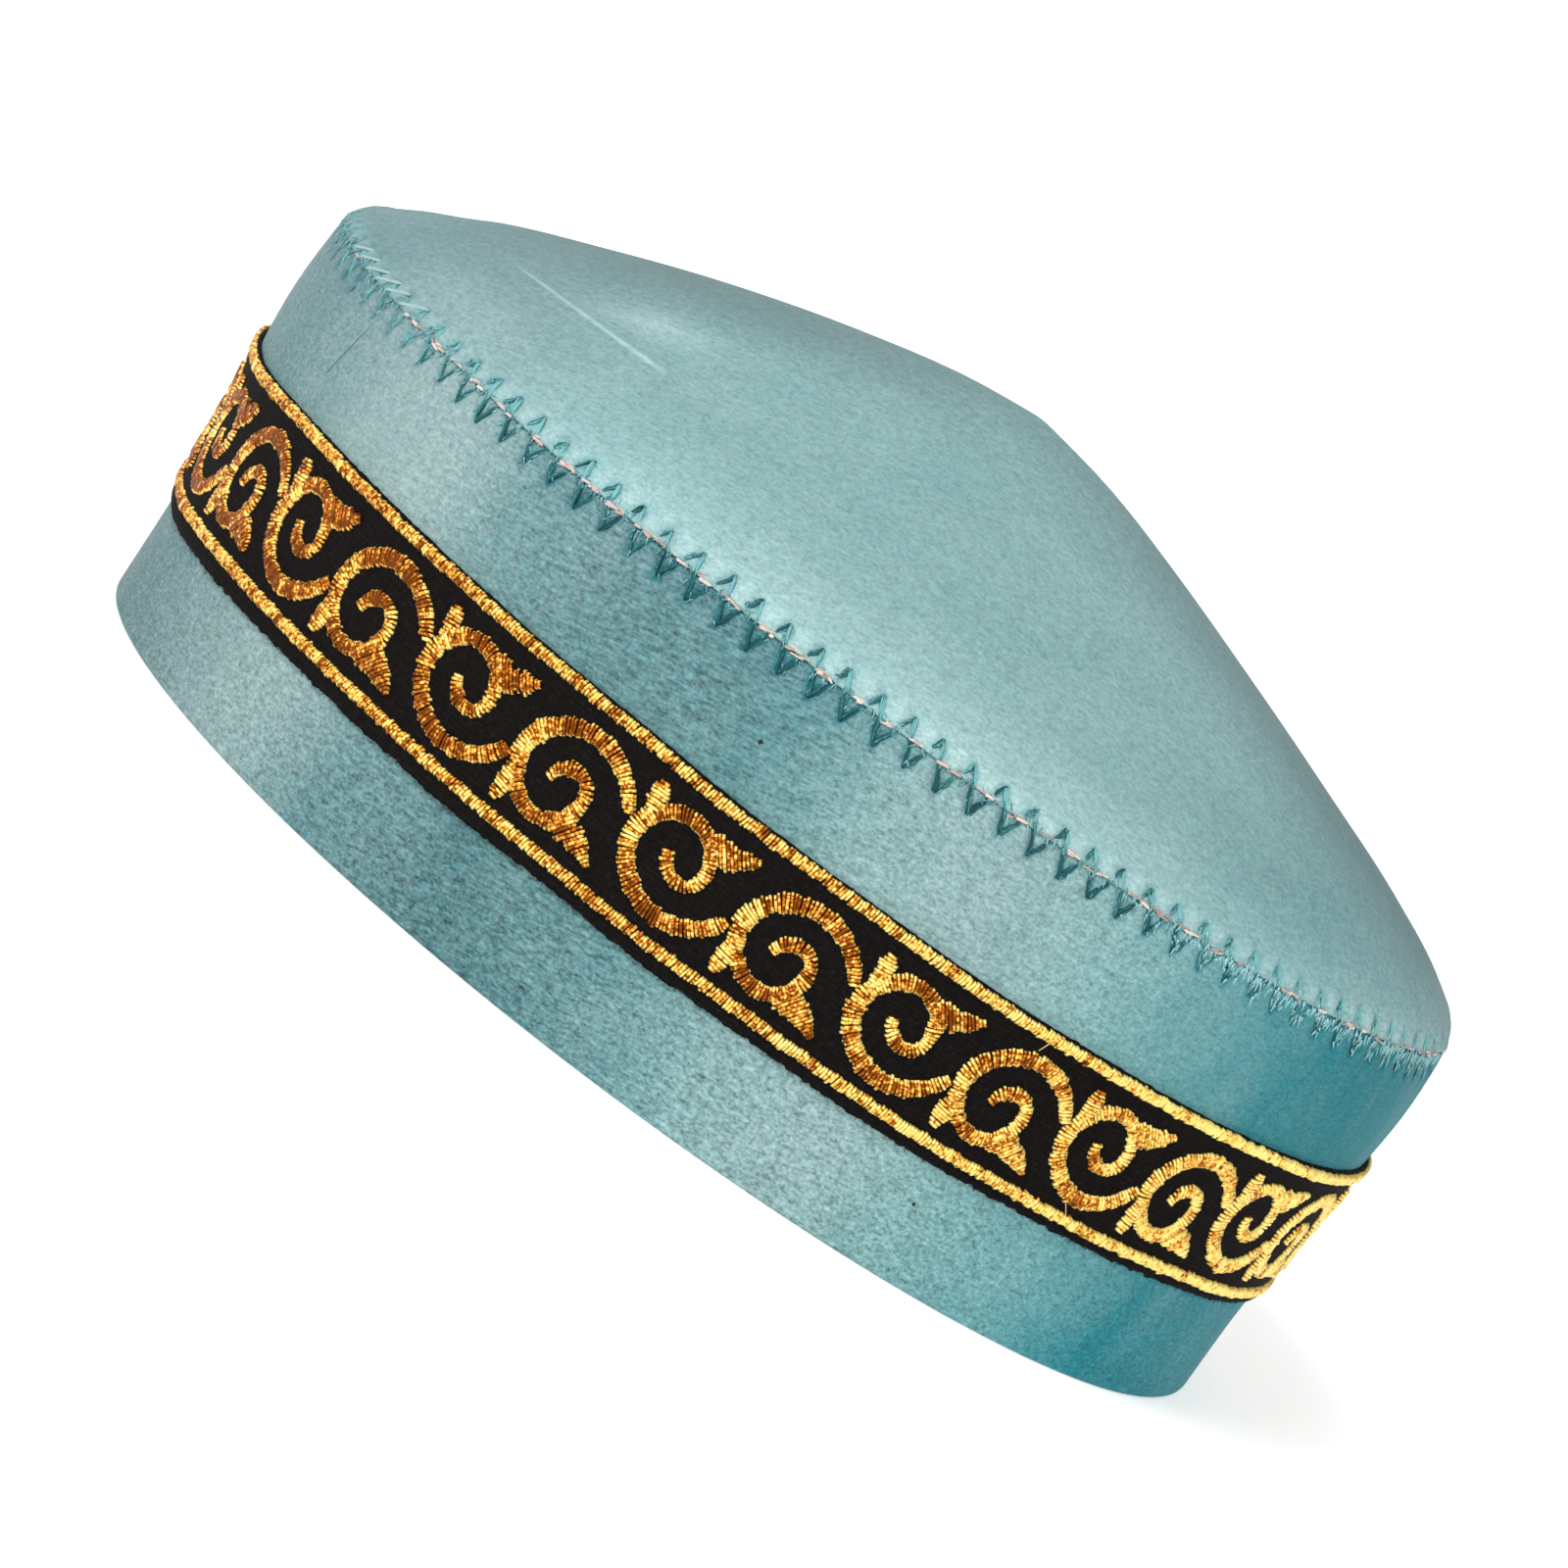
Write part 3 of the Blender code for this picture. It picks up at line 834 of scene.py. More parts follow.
def gold_finish():
    """Metal-wrapped thread: each stitch of its own tone, with painted glints in flecks and streaks, painted
    shade, browner, down its sides and across its middle, painted highlights where it turns down at its ends, and
    painted light that grows to the right.
    """
    gold = Finish("gold_satin", Roughness=0.40)
    side = gold.node("ShaderNodeSeparateXYZ", "X", {0: gold.place()})
    far = side.step("MAXIMUM", side - 0.035)
    tone = gold.attribute("tone")
    flecks = gold.noise(gold.place(), 2100, 3.0, 0.7)
    clouds = gold.noise(gold.place(), 260, 2.0, 0.5)
    lengthwise = gold.node("ShaderNodeCombineXYZ", 0, {0: tone * 31.0, 1: gold.attribute("along")})
    streaks = gold.noise(lengthwise, 1.5, 2.0, 0.6)
    # Painted glints in flecks and streaks along the threads over each stitch's own tone; painted shade down each
    # thread's sides
    level = flecks * 2.5 + streaks * 2.5 + clouds * 0.8 + tone * 0.30
    level = level * (1.0 - far * 3.0) + 0.85 - (gold.attribute("flank") - 0.5) * 0.85
    # Painted highlights at the turned-down ends, painted shade across the middle, more on upright stitches;
    # painted light that grows to the right, with less contrast at the far right
    turned_up = 1.0 - gold.attribute("turned_down")
    middle = turned_up.step("DIVIDE", turned_up, 0.28, clamp=True)
    darker = (gold.attribute("upright") * 0.50 + 0.24) * (1.0 - far * 11.0)
    level = level - middle * darker + far * 0.4 + side * 1.7
    tint = colours()
    brown = Vector(tint.gold_brown)
    stops = ((0.0, brown * 0.35), (0.32, brown), (0.62, tint.gold_yellow), (0.90, tint.gold_cream))
    gold.shade("Base Color", gold.ramp(level, *stops))
    gold.shade("Metallic", middle * 0.75 + 0.2)
    gold.bump(flecks, 0.35, 0.05 * MM)
    return gold.made


def thread_finish(name, colour, lightest):
    """Spun thread: a fine twist and each stitch of its own tone."""
    thread = Finish(name, Roughness=0.75, Specular_IOR_Level=0.2)
    fibres = thread.noise(thread.place(), 4200, 2.0, 0.6) + 0.5
    level = fibres + thread.attribute("tone") * 0.6
    base = Vector(colour)
    thread.shade("Base Color", thread.ramp(level, (0.15, base * 0.55), (0.5, base), (0.95, Vector(lightest))))
    thread.bump(fibres, 0.5, 0.05 * MM)
    return thread.made


class SKULLCAP_OT_velvet_band(bpy.types.Operator):
    """Side wall of velvet with a rolled hem and its seam turned in"""

    bl_idname = "skullcap.velvet_band"
    bl_label = "Velvet band"

    def execute(self, context):
        section = [(-0.75, 0.0), (-0.35, 0.08), (-0.1, 0.3), (0.0, 0.7)]
        heights = np.concatenate([[1.4, 2.4, 3.6], np.linspace(5.0, 56.0, 22), np.linspace(57.0, 62.2, 11)])
        section += [(0.0, height) for height in heights]
        section += [(-0.08, 62.5), (-0.28, 62.75), (-0.7, 62.92), (-1.4, 62.98), (-2.3, 62.9)]
        section += [(-2.5, height) for height in np.linspace(62.0, 1.0, 12)]
        section += [(-2.35, 0.35), (-2.0, 0.07), (-1.4, 0.0)]
        piece = extrude_rings("velvet_band", wall_rings(section), filled=False, closing="bridge")
        centres = places_of(piece.data.polygons, "center")
        inner = wall_reach(centres[:, 2]) - 1.7 * MM / HALF_LENGTH
        velvet = velvet_finish("velvet_band", 0.88, 0.5, 1.75)
        paint_inside(piece, velvet, round_and_out(centres)[1] < inner)
        places = places_of(piece.data.vertices)
        x, y, height = places.T
        angle, reach = round_and_out(places)
        outside = reach > wall_reach(height) - 0.9 * MM / HALF_LENGTH
        girth = SEAM.passed_at(angle)
        rise = height - BAND_HEIGHT
        dent = np.where(outside, seam_dent(girth, rise), 0.0)
        out = wall_slack(angle, height) + end_bulge(angle, height) - dent
        move_vertices(piece, push_out(places, angle, out))
        # The nap's light and dark parts, from left to right, with painted light and shade among them, such as the
        # painted shade over the right end; behind, the same ones lie further round
        seen = np.where(y < 0, x, x - 0.024 * np.cos(math.pi * x / 0.2))
        low = fade(height, 0.030, 0.010)
        calm = fade(seen, 0.05, 0.07)
        middle_left = hill(seen, -0.022, 0.030)
        nap = 0.44 + 0.26 * hill(seen, -0.068, 0.014) + 0.28 * hill(seen, 0.031, 0.025)
        nap -= 0.13 * hill(seen, -0.022, 0.024) + 0.12 * fade(seen, -0.076, -0.091)
        nap -= 0.40 * fade(seen, 0.055, 0.087) + 0.05 * hill(height, 0.001, 0.005)
        nap += 0.09 * hill(seen, 0.068, 0.010) * low
        # Painted shade: a multiplier of the velvet's lightness, by the place across the front and lower down the
        # band
        shade = np.interp(seen, BAND_TONES_AT, BAND_PAINTED_SHADE)
        shade -= low * (0.04 * fade(seen, -0.01, -0.04) + 0.06 * fade(seen, -0.065, -0.085))
        shade += low * (0.08 * calm - 0.05 * hill(seen, -0.025, 0.014))
        coarse = 0.9 + 0.2 * middle_left - 0.3 * calm - 0.3 * hill(seen, -0.072, 0.016) + 0.32 * low
        # Painted shade in the pile along the zigzag and the seam, weaker at the right end
        pressed = np.where(outside, groove_shade_of(girth, rise) * (1 - 0.6 * calm), 0.0)
        # Painted saturation: greyer where grey sheen is painted in at the left end, deeper teal where painted
        # shade lies at the right end
        dye = np.interp(seen, BAND_TONES_AT, BAND_PAINTED_SATURATION)
        brush = 0.15 + 0.95 * middle_left
        store(piece, brush=brush, coarse=coarse, shade=shade, dye=dye, nap=nap, pressed=pressed)
        settle(piece, "band")
        return {"FINISHED"}


class SKULLCAP_OT_velvet_crown(bpy.types.Operator):
    """One-piece velvet top, rounded over its shoulder and turned in at its seam"""

    bl_idname = "skullcap.velvet_crown"
    bl_label = "Velvet crown"

    def execute(self, context):
        top = CROWN["passed"][-1]
        ups = np.concatenate([np.linspace(0.45, 6.0, 12), np.linspace(7.0, 24.0, 15)]) * MM
        ups = np.concatenate([ups, np.linspace(27.0 * MM, top * 0.97, 20), [top * 0.985]])
        rings = [crown_ring(up, 0.0) for up in ups[::-1]]
        rings += wall_rings(((-0.12, 63.1), (-0.4, 62.95), (-0.9, 62.9), (-1.7, 62.93), (-2.4, 63.1)))
        inner = np.concatenate([np.linspace(1.5 * MM, top * 0.96, 16), [top * 0.985]])
        rings += [crown_ring(up, CLOTH_WALL) for up in inner]
        piece = extrude_rings("velvet_crown", rings, filled=True, closing="pole")

        def under_top(places):
            """Angle and share of the seam's oval at places, and how far they lie under the crown's top."""
            angle, reach = round_and_out(places)
            reach = reach / wall_reach(BAND_HEIGHT)
            return angle, reach, np.interp(reach, CROWN["reach"][::-1], CROWN["height"][::-1]) - places[:, 2]

        velvet = velvet_finish("velvet_crown", 0.5, 0.3, 0.7, CROWN_CREASE)
        paint_inside(piece, velvet, under_top(places_of(piece.data.polygons, "center"))[2] > 1.6 * MM)
        places = places_of(piece.data.vertices)
        x, y, height = places.T
        angle, reach, depth = under_top(places)
        girth = SEAM.passed_at(angle)
        outside = depth < 1.4 * MM
        rise = np.maximum(np.interp(1 - reach, 1 - CROWN["reach"], CROWN["passed"]), height - CROWN_FOOT)
        dent = np.where(outside, seam_dent(girth, rise), 0.0)
        out, up = crown_at(rise, "out", "up")
        moved = push_out(places, angle, crown_bulge(angle, rise) - dent * out)
        moved[:, 2] -= dent * up + crown_drop(x, y, rise)
        slow = 0.5 * np.sin(2 * angle + 0.6) + 0.5 * np.sin(3 * angle + 9 * reach)
        moved[:, 2] += sizes().slack * slow * fade(rise, 0, 15 * MM) * np.clip(reach * 3, 0, 1)
        move_vertices(piece, moved)
        # The nap with painted light: its slow changes, with painted shade towards both ends and the back, a
        # smudge, a pale patch, painted highlights on the puffs between the seam's stitches, and a painted
        # highlight on the right shoulder above the seam
        nap = 0.60 + 0.18 * hill(rise, 5 * MM, 10 * MM) * hill(x, 0.0, 0.06)
        nap -= 0.22 * fade(x, -0.055, -0.085) + 0.20 * fade(x, 0.045, 0.075) + 0.14 * fade(y, -0.02, 0.03)
        nap += 0.34 * hill(x, -0.0535, 0.008) * hill(y, -0.0405, 0.0046)
        nap += 0.16 * hill(x, -0.074, 0.011) * hill(rise, 8 * MM, 6 * MM) * (y < 0)
        painted_puff_highlight = (0.5 + 0.5 * np.cos(TURN * (girth / zigzag().pitch - 0.27))) ** 2
        nap += 0.17 * painted_puff_highlight * hill(rise, 1.7 * MM, 1.6 * MM) + 0.14 * fade(x, 0.06, 0.08) * hill(rise, 0.0, 6 * MM)
        # Painted shade: darker towards the back and the left, lighter over the top and far behind, and on the
        # right lighter by the seam and darker above it
        shade = 1.02 - 0.38 * fade(y, -0.036, -0.006) * fade(x, -0.088, -0.058)
        shade += 0.20 * hill(x, 0.0, 0.02) * hill(y, -0.008, 0.02) - 0.13 * fade(x, -0.045, -0.075)
        shade += 0.15 * fade(y, 0.004, 0.054) - 0.12 * hill(x, -0.042, 0.02) * hill(y, -0.020, 0.012)
        shade -= 0.05 * fade(x, 0.035, 0.065) * fade(rise, 8 * MM, 18 * MM)
        shade += 0.07 * fade(x, 0.045, 0.065) * fade(rise, 14 * MM, 6 * MM)
        # Painted saturation: greyer towards both ends, where grey sheen is painted in
        dye = 1.04 - 0.16 * fade(x, -0.05, -0.08) - 0.14 * fade(x, 0.07, 0.09)
        # Painted shade in the pile along the zigzag and the seam, weaker than on the band
        pressed = np.where(outside, 0.3 * groove_shade_of(girth, rise), 0.0)
        store(piece, brush=0.5, coarse=1.0, shade=shade, dye=dye, nap=nap, pressed=pressed)
        settle(piece, "crown")
        return {"FINISHED"}


class SKULLCAP_OT_black_ribbon(bpy.types.Operator):
    """Black woven ribbon round the band, with uneven selvedges"""

    bl_idname = "skullcap.black_ribbon"
    bl_label = "Black ribbon"

    def execute(self, context):
        foot, top = RIBBON_FOOT / MM, RIBBON_TOP / MM
        section = [(0.25, foot), (0.62, foot + 0.02), (0.84, foot + 0.25), (0.86, foot + 0.7)]
        section += [(0.8, height) for height in np.linspace(foot + 1.2, top - 1.0, 9)]
        section += [(0.78, top - 0.5), (0.62, top - 0.25), (0.38, top - 0.08), (0.12, top - 0.02)]
        section += [(0.1, height) for height in np.linspace(top - 0.6, foot + 0.6, 5)]
        piece = extrude_rings("black_ribbon", wall_rings(section), filled=False, closing="bridge")
        places = places_of(piece.data.vertices)
        angle, reach = round_and_out(places)
        chance = np.random.default_rng(11)
        rough_edge = np.interp((angle + math.pi) / TURN * 900, np.arange(901), chance.normal(0, 1, 901))
        loops = np.sin(angle * 420) * 0.5
        height = places[:, 2].copy()
        lower = fade(height, RIBBON_FOOT + 0.8 * MM, RIBBON_FOOT)
        upper = fade(height, RIBBON_TOP - 0.5 * MM, RIBBON_TOP)
        by_foot = fade(height, RIBBON_FOOT + 1.3 * MM, RIBBON_FOOT)
        places[:, 2] += ribbon_sway(angle, height) + sway(angle, SWAY_FOOT) * by_foot
        places[:, 2] += (0.14 * lower + 0.05 * upper) * MM * (rough_edge + loops)
        out = wall_slack(angle, places[:, 2]) + end_bulge(angle, places[:, 2])
        move_vertices(piece, push_out(places, angle, out + 0.05 * MM * rough_edge * lower))
        settle(piece, "trim_tape", ribbon_finish())
        return {"FINISHED"}


def paired_tones(chance, count):
    """A tone for each satin stitch; stitches next to each other share part of theirs."""
    return np.repeat(chance.normal(0, 0.45, count // 2 + 1), 2)[:count] + chance.normal(0, 0.32, count)


class SKULLCAP_OT_gold_borders(bpy.types.Operator):
    """Two satin-stitched gold lines along the ribbon's edges"""

    bl_idname = "skullcap.gold_borders"
    bl_label = "Gold borders"

    def execute(self, context):
        thread = model_thread(2)
        gold = bpy.data.materials.get("gold_satin") or gold_finish()
        for word, (foot, top), seed in (("lower", LOWER_BORDER, 21), ("upper", UPPER_BORDER, 22)):
            chance = np.random.default_rng(seed)
            count = round(RIBBON.whole / sizes().stitch_pitch)
            at = np.arange(count) * RIBBON.whole / count + chance.normal(0, 0.03 * MM, count)
            slant = 0.2 * MM + chance.normal(0, 0.06 * MM, count)
            wander = 0.09 * MM * np.sin(at / (11 * MM)) + chance.normal(0, 0.055 * MM, count)
            low = foot + wander + chance.normal(0, 0.09 * MM, count)
            high = top + wander + chance.normal(0, 0.08 * MM, count)
            starts = np.stack([at - slant, low], axis=1)
            ends = np.stack([at + slant, high], axis=1)
            width = sizes().stitch_width * chance.uniform(0.88, 1.15, count)
            relief = sizes().stitch_relief * chance.uniform(0.82, 1.1, count)
            tone = paired_tones(chance, count)
            name = f"gold_border_{word}"
            piece = lay_threads(name, thread, starts, ends, width, relief, on_ribbon, tone)
            settle(piece, f"gold_line_{word}", gold)
        return {"FINISHED"}


def on_vine(turns):
    """Points of the vine's middle, from the spiral's centre, at degrees turned from its tip."""
    reach = smooth_curve(VINE_TURNS, VINE_REACHES, turns)
    bearing = np.radians(TIP_BEARING - turns)
    return SPIRAL_CENTRE + np.stack([reach * np.cos(bearing), reach * np.sin(bearing)], axis=1)


def vine_stitches(scale):
    """Starts and ends of the satin stitches across the vine."""
    turns = np.linspace(0, VINE_TURNS[-1], 800)
    width = smooth_curve(VINE_TURNS, VINE_WIDTHS, turns) * STROKE_WIDTH
    line = on_vine(turns) * scale
    end = (SPIRAL_CENTRE + VINE_END) * scale
    line = np.concatenate([line, [line[-1] * 0.45 + end * 0.55, end]])
    width = np.concatenate([width, [width[-1] * 0.9, width[-1] * 0.6]])
    passed = summed(np.linalg.norm(np.diff(line, axis=0), axis=1))
    at = np.arange(sizes().stitch_pitch / 2, passed[-1], sizes().stitch_pitch)
    places = np.stack([np.interp(at, passed, line[:, axis]) for axis in (0, 1)], axis=1)
    ahead = np.gradient(places, axis=0)
    ahead /= np.linalg.norm(ahead, axis=1)[:, None]
    across = np.stack([-ahead[:, 1], ahead[:, 0]], axis=1)
    reach = across * np.interp(at, passed, width)[:, None] / 2 + ahead * 0.12 * MM
    return places - reach, places + reach


def sprout_stitches(outline, turns, slope, scale):
    """Starts and ends of the satin stitches that fill a leaf or a bud, down to the vine under it."""
    shape = np.concatenate([SPIRAL_CENTRE + outline, on_vine(np.linspace(turns[1], turns[0], 4))]) * scale
    along = np.array([math.cos(math.radians(slope)), math.sin(math.radians(slope))])
    across = np.array([-along[1], along[0]])
    places = np.stack([shape @ along, shape @ across], axis=1)
    starts, ends = [], []
    for at in np.arange(places[:, 0].min() + 0.1 * MM, places[:, 0].max(), sizes().stitch_pitch):
        crossed = []
        for a, b in zip(places, np.roll(places, -1, axis=0)):
            if (a[0] - at) * (b[0] - at) < 0:
                crossed.append(a[1] + (at - a[0]) / (b[0] - a[0]) * (b[1] - a[1]))
        if len(crossed) >= 2 and max(crossed) - min(crossed) > 0.3 * MM:
            starts.append(along * at + across * min(crossed))
            ends.append(along * at + across * max(crossed))
    return np.array(starts), np.array(ends)


class SKULLCAP_OT_gold_scroll(bpy.types.Operator):
    """Running scroll of gold satin stitch, bud up and bud down in turn, all round the ribbon"""

    bl_idname = "skullcap.gold_scroll"
    bl_label = "Gold scroll"

    def execute(self, context):
        thread = model_thread(2)
        gold = bpy.data.materials.get("gold_satin") or gold_finish()
        half_repeat = RIBBON.whole / (2 * SCROLL_REPEATS)
        scale = np.array([half_repeat / DRAWN_HALF_REPEAT, SCROLL_HEIGHT])
        parts = [vine_stitches(scale)] + [sprout_stitches(*sprout, scale) for sprout in SPROUTS]
        starts, ends = (np.concatenate(side) for side in zip(*parts))
        vine_count, count = len(parts[0][0]), len(starts)
        for half in range(2 * SCROLL_REPEATS):
            word, flip = (("up", -1), ("down", 1))[half % 2]
            chance = np.random.default_rng(100 + half)
            shift = np.array([(2 * SCROLL_START + half) * half_repeat, SCROLL_MIDDLE])
            first = starts * (1, flip) + chance.normal(0, 0.05 * MM, (count, 2)) + shift
            last = ends * (1, flip) + chance.normal(0, 0.05 * MM, (count, 2)) + shift
            stretch = chance.normal(-0.01, 0.045, count)[:, None] * (last - first)
            width = sizes().stitch_width * chance.uniform(0.9, 1.2, count)
            relief = sizes().stitch_relief * chance.uniform(0.85, 1.12, count)
            relief[vine_count:] *= 1.12
            tone = paired_tones(chance, count)
            name = f"scroll_{word}_{half // 2 + 1:02d}"
            piece = lay_threads(
                f"gold_{name}", thread, first - stretch, last + stretch, width, relief, on_scroll, tone, 1.0
            )
            settle(piece, name, gold)
        return {"FINISHED"}


class SKULLCAP_OT_seam_threads(bpy.types.Operator):
    """Teal zigzag over the crown's seam, and the pink stitches along it"""

    bl_idname = "skullcap.seam_threads"
    bl_label = "Seam threads"

    def execute(self, context):
        chance = np.random.default_rng(31)
        self.lay_zigzag(chance)
        self.lay_dashes(chance)
        return {"FINISHED"}

    def lay_zigzag(self, chance):
        """Three strands on each leg of the zigzag, darker below the seam in painted shade, which sink and pale
        towards the cap's ends.
        """
        line = zigzag()
        count = line.count
        at = np.arange(count) * line.pitch
        tips = np.stack([at + line.tip[0], np.full(count, line.tip[1])], axis=1)
        peaks = np.stack([at + line.peak[0], np.full(count, line.peak[1])], axis=1)
        tips += chance.normal(0, 0.16 * MM, (count, 2))
        peaks += chance.normal(0, 0.2 * MM, (count, 2))
        next_tips = np.roll(tips, -1, axis=0)
        next_tips[-1, 0] += SEAM.whole
        starts = np.concatenate([tips] * 3 + [peaks] * 3)
        ends = np.concatenate([peaks] * 3 + [next_tips] * 3)
        aside = np.tile(np.repeat([-0.19, 0.0, 0.19], count), 2) * MM
        starts = starts + chance.normal(0, 0.09 * MM, starts.shape)
        ends = ends + chance.normal(0, 0.09 * MM, ends.shape)
        starts[:, 0] += aside
        ends[:, 0] += aside * 0.8
        tone = chance.uniform(-0.35, 0.4, 6 * count)
        width = sizes().zigzag_width * np.repeat([0.82, 0.74], 3 * count)
        width = width * chance.uniform(0.7, 1.25, 6 * count)
        piece = lay_threads(
            "seam_zigzag", model_thread(8), starts, ends, width, 0.34 * MM, wavering_seam, tone
        )
        laid = places_of(piece.data.vertices)
        x, y, height = laid.T
        faded = fade(x, -0.062, -0.083) + 0.55 * fade(x, 0.045, 0.065) * (y < 0)
        upper = fade(height - BAND_HEIGHT, -0.3 * MM, 0.9 * MM)
        second_legs = np.arange(len(laid)) >= len(laid) // 2
        # Painted shade: the strands are darker below the seam, and the upper parts of the first legs darker than
        # those of the second; paler towards the cap's ends
        tone = places_of_tone(piece) + np.where(second_legs, 1.1, 0.3) * upper - 0.2 + 0.7 * faded
        piece.data.attributes["tone"].data.foreach_set("value", tone)
        move_vertices(piece, push_out(laid, round_and_out(laid)[0], -0.32 * MM * faded))
        settle(piece, material=thread_finish("zigzag_thread", colours().zigzag, (0.16, 0.42, 0.43)))

    def lay_dashes(self, chance):
        """Short pink stitches along the seam, few at the left end and where the pile hides them."""
        line = zigzag()
        at = np.repeat((np.arange(line.count) + 0.28) * line.pitch, 5) + chance.normal(0, MM, 5 * line.count)
        angle = SEAM.angle_at(at)
        x = np.where(np.sin(angle) < 0, HALF_LENGTH * np.cos(angle), 0)
        kept = 0.60 - 0.56 * hill(x, 0.067, 0.010) - 0.54 * (x < -0.080) - 0.30 * (x > 0.074)
        at = at[chance.uniform(0, 1, len(at)) < kept]
        count = len(at)
        half = chance.uniform(0.35, 1.15, count) * MM
        level = chance.normal(0.10, 0.17, count) * MM
        tilt = chance.normal(0.05, 0.12, count) * MM
        starts = np.stack([at - half, level - tilt], axis=1)
        ends = np.stack([at + half, level + tilt], axis=1)
        tone = chance.uniform(-0.5, 0.7, count)
        width = sizes().topstitch_width * chance.uniform(0.55, 1.05, count)
        piece = lay_threads(
            "seam_topstitch", model_thread(4), starts, ends, width, 0.40 * MM, by_seam(0.26 * MM), tone
        )
        settle(piece, material=thread_finish("topstitch_thread", colours().topstitch, (0.74, 0.62, 0.56)))


def places_of_tone(piece):
    """Tone of each vertex of laid threads."""
    tone = np.empty(len(piece.data.vertices))
    piece.data.attributes["tone"].data.foreach_get("value", tone)
    return tone


def headed(roots, heading, length):
    """Ends of fibres that start at their roots, by their heading and length."""
    return roots + np.stack([np.cos(heading), np.sin(heading)], axis=1) * length[:, None]


class SKULLCAP_OT_seam_pile(bpy.types.Operator):
    """Locks of pile that the seam's threads part and raise, and the folds they pull in the shoulder"""

    bl_idname = "skullcap.seam_pile"
    bl_label = "Seam pile"

    def execute(self, context):
        chance = np.random.default_rng(41)
        self.lay_pile(chance)
        self.lay_folds(chance)
        return {"FINISHED"}

    def lay_pile(self, chance):
        """Locks beside the zigzag's legs and along the seam, shaggier to the right."""
        line = zigzag()
        roots = []
        for start, end in line.legs:
            share = chance.uniform(0.04, 0.96, (line.count, 11))
            x = np.arange(line.count)[:, None] * line.pitch + start[0] + (end[0] - start[0]) * share
            y = start[1] + (end[1] - start[1]) * share
            side = np.where(chance.uniform(0, 1, share.shape) < 0.5, -1, 1)
            x = x + side * chance.uniform(0.28, 0.62, share.shape) * MM
            roots.append(np.stack([x, y], axis=-1).reshape(-1, 2))
        along = chance.uniform(0, SEAM.whole, 3400)
        roots.append(np.stack([along, chance.normal(0.25, 0.5, 3400) * MM], axis=1))
        roots = np.concatenate(roots)
        angle = SEAM.angle_at(roots[:, 0])
        shaggy = fade(np.where(angle < 0, HALF_LENGTH * np.cos(angle), 0), 0.035, 0.065)
        at_seam = hill(roots[:, 1], 0.25 * MM, 0.7 * MM)
        kept = 0.20 + 0.36 * shaggy + 0.3 * at_seam * (1 - 0.8 * shaggy)
        kept = chance.uniform(0, 1, len(roots)) < kept
        roots, shaggy = roots[kept], shaggy[kept]
        roots[:, 1] = roots[:, 1] * (1 - 0.25 * shaggy) - 0.6 * MM * shaggy
        count = len(roots)
        length = sizes().pile_length * chance.uniform(0.4, 1.25, count) * (1 + 0.15 * shaggy)
        heading = -TURN / 4 + chance.normal(0.15, 0.55, count) * (1 - 0.45 * shaggy)
        width, relief = (0.34 + 0.32 * shaggy) * MM, (0.15 - 0.06 * shaggy) * MM
        tone = chance.uniform(-0.5, 0.3, count) + 0.5 * shaggy
        tips = headed(roots, heading, length)
        piece = lay_threads("seam_pile", model_tuft(), roots, tips, width, relief, by_seam(0.05 * MM), tone)
        settle(piece, material=thread_finish("raised_pile", (0.17, 0.44, 0.47), (0.42, 0.72, 0.73)))

    def lay_folds(self, chance):
        """Short folds that run up from the seam, with painted highlight on them."""
        rows = np.array(SEAM_FOLDS) * MM
        count = len(rows)
        angle = np.arctan2(rows[:, 1] / HALF_WIDTH, (rows[:, 0] - centre_at(BAND_HEIGHT)) / HALF_LENGTH)
        start = np.stack([SEAM.passed_at(angle), chance.uniform(-0.1, 0.4, count) * MM], axis=1)
        end = start + np.array([5.6, 2.9]) * MM * chance.uniform(0.75, 1.1, (count, 1))
        piece = lay_threads(
            "seam_folds", model_thread(8), start, end, 0.8 * MM, 0.36 * MM, by_seam(0.2 * MM),
            np.full(count, 0.2),
        )
        # Painted highlight: the folds take the velvet's pale colour
        pale = Vector(colours().velvet_pale)
        settle(piece, material=thread_finish("velvet_folds", pale * 0.8, pale * 1.05))


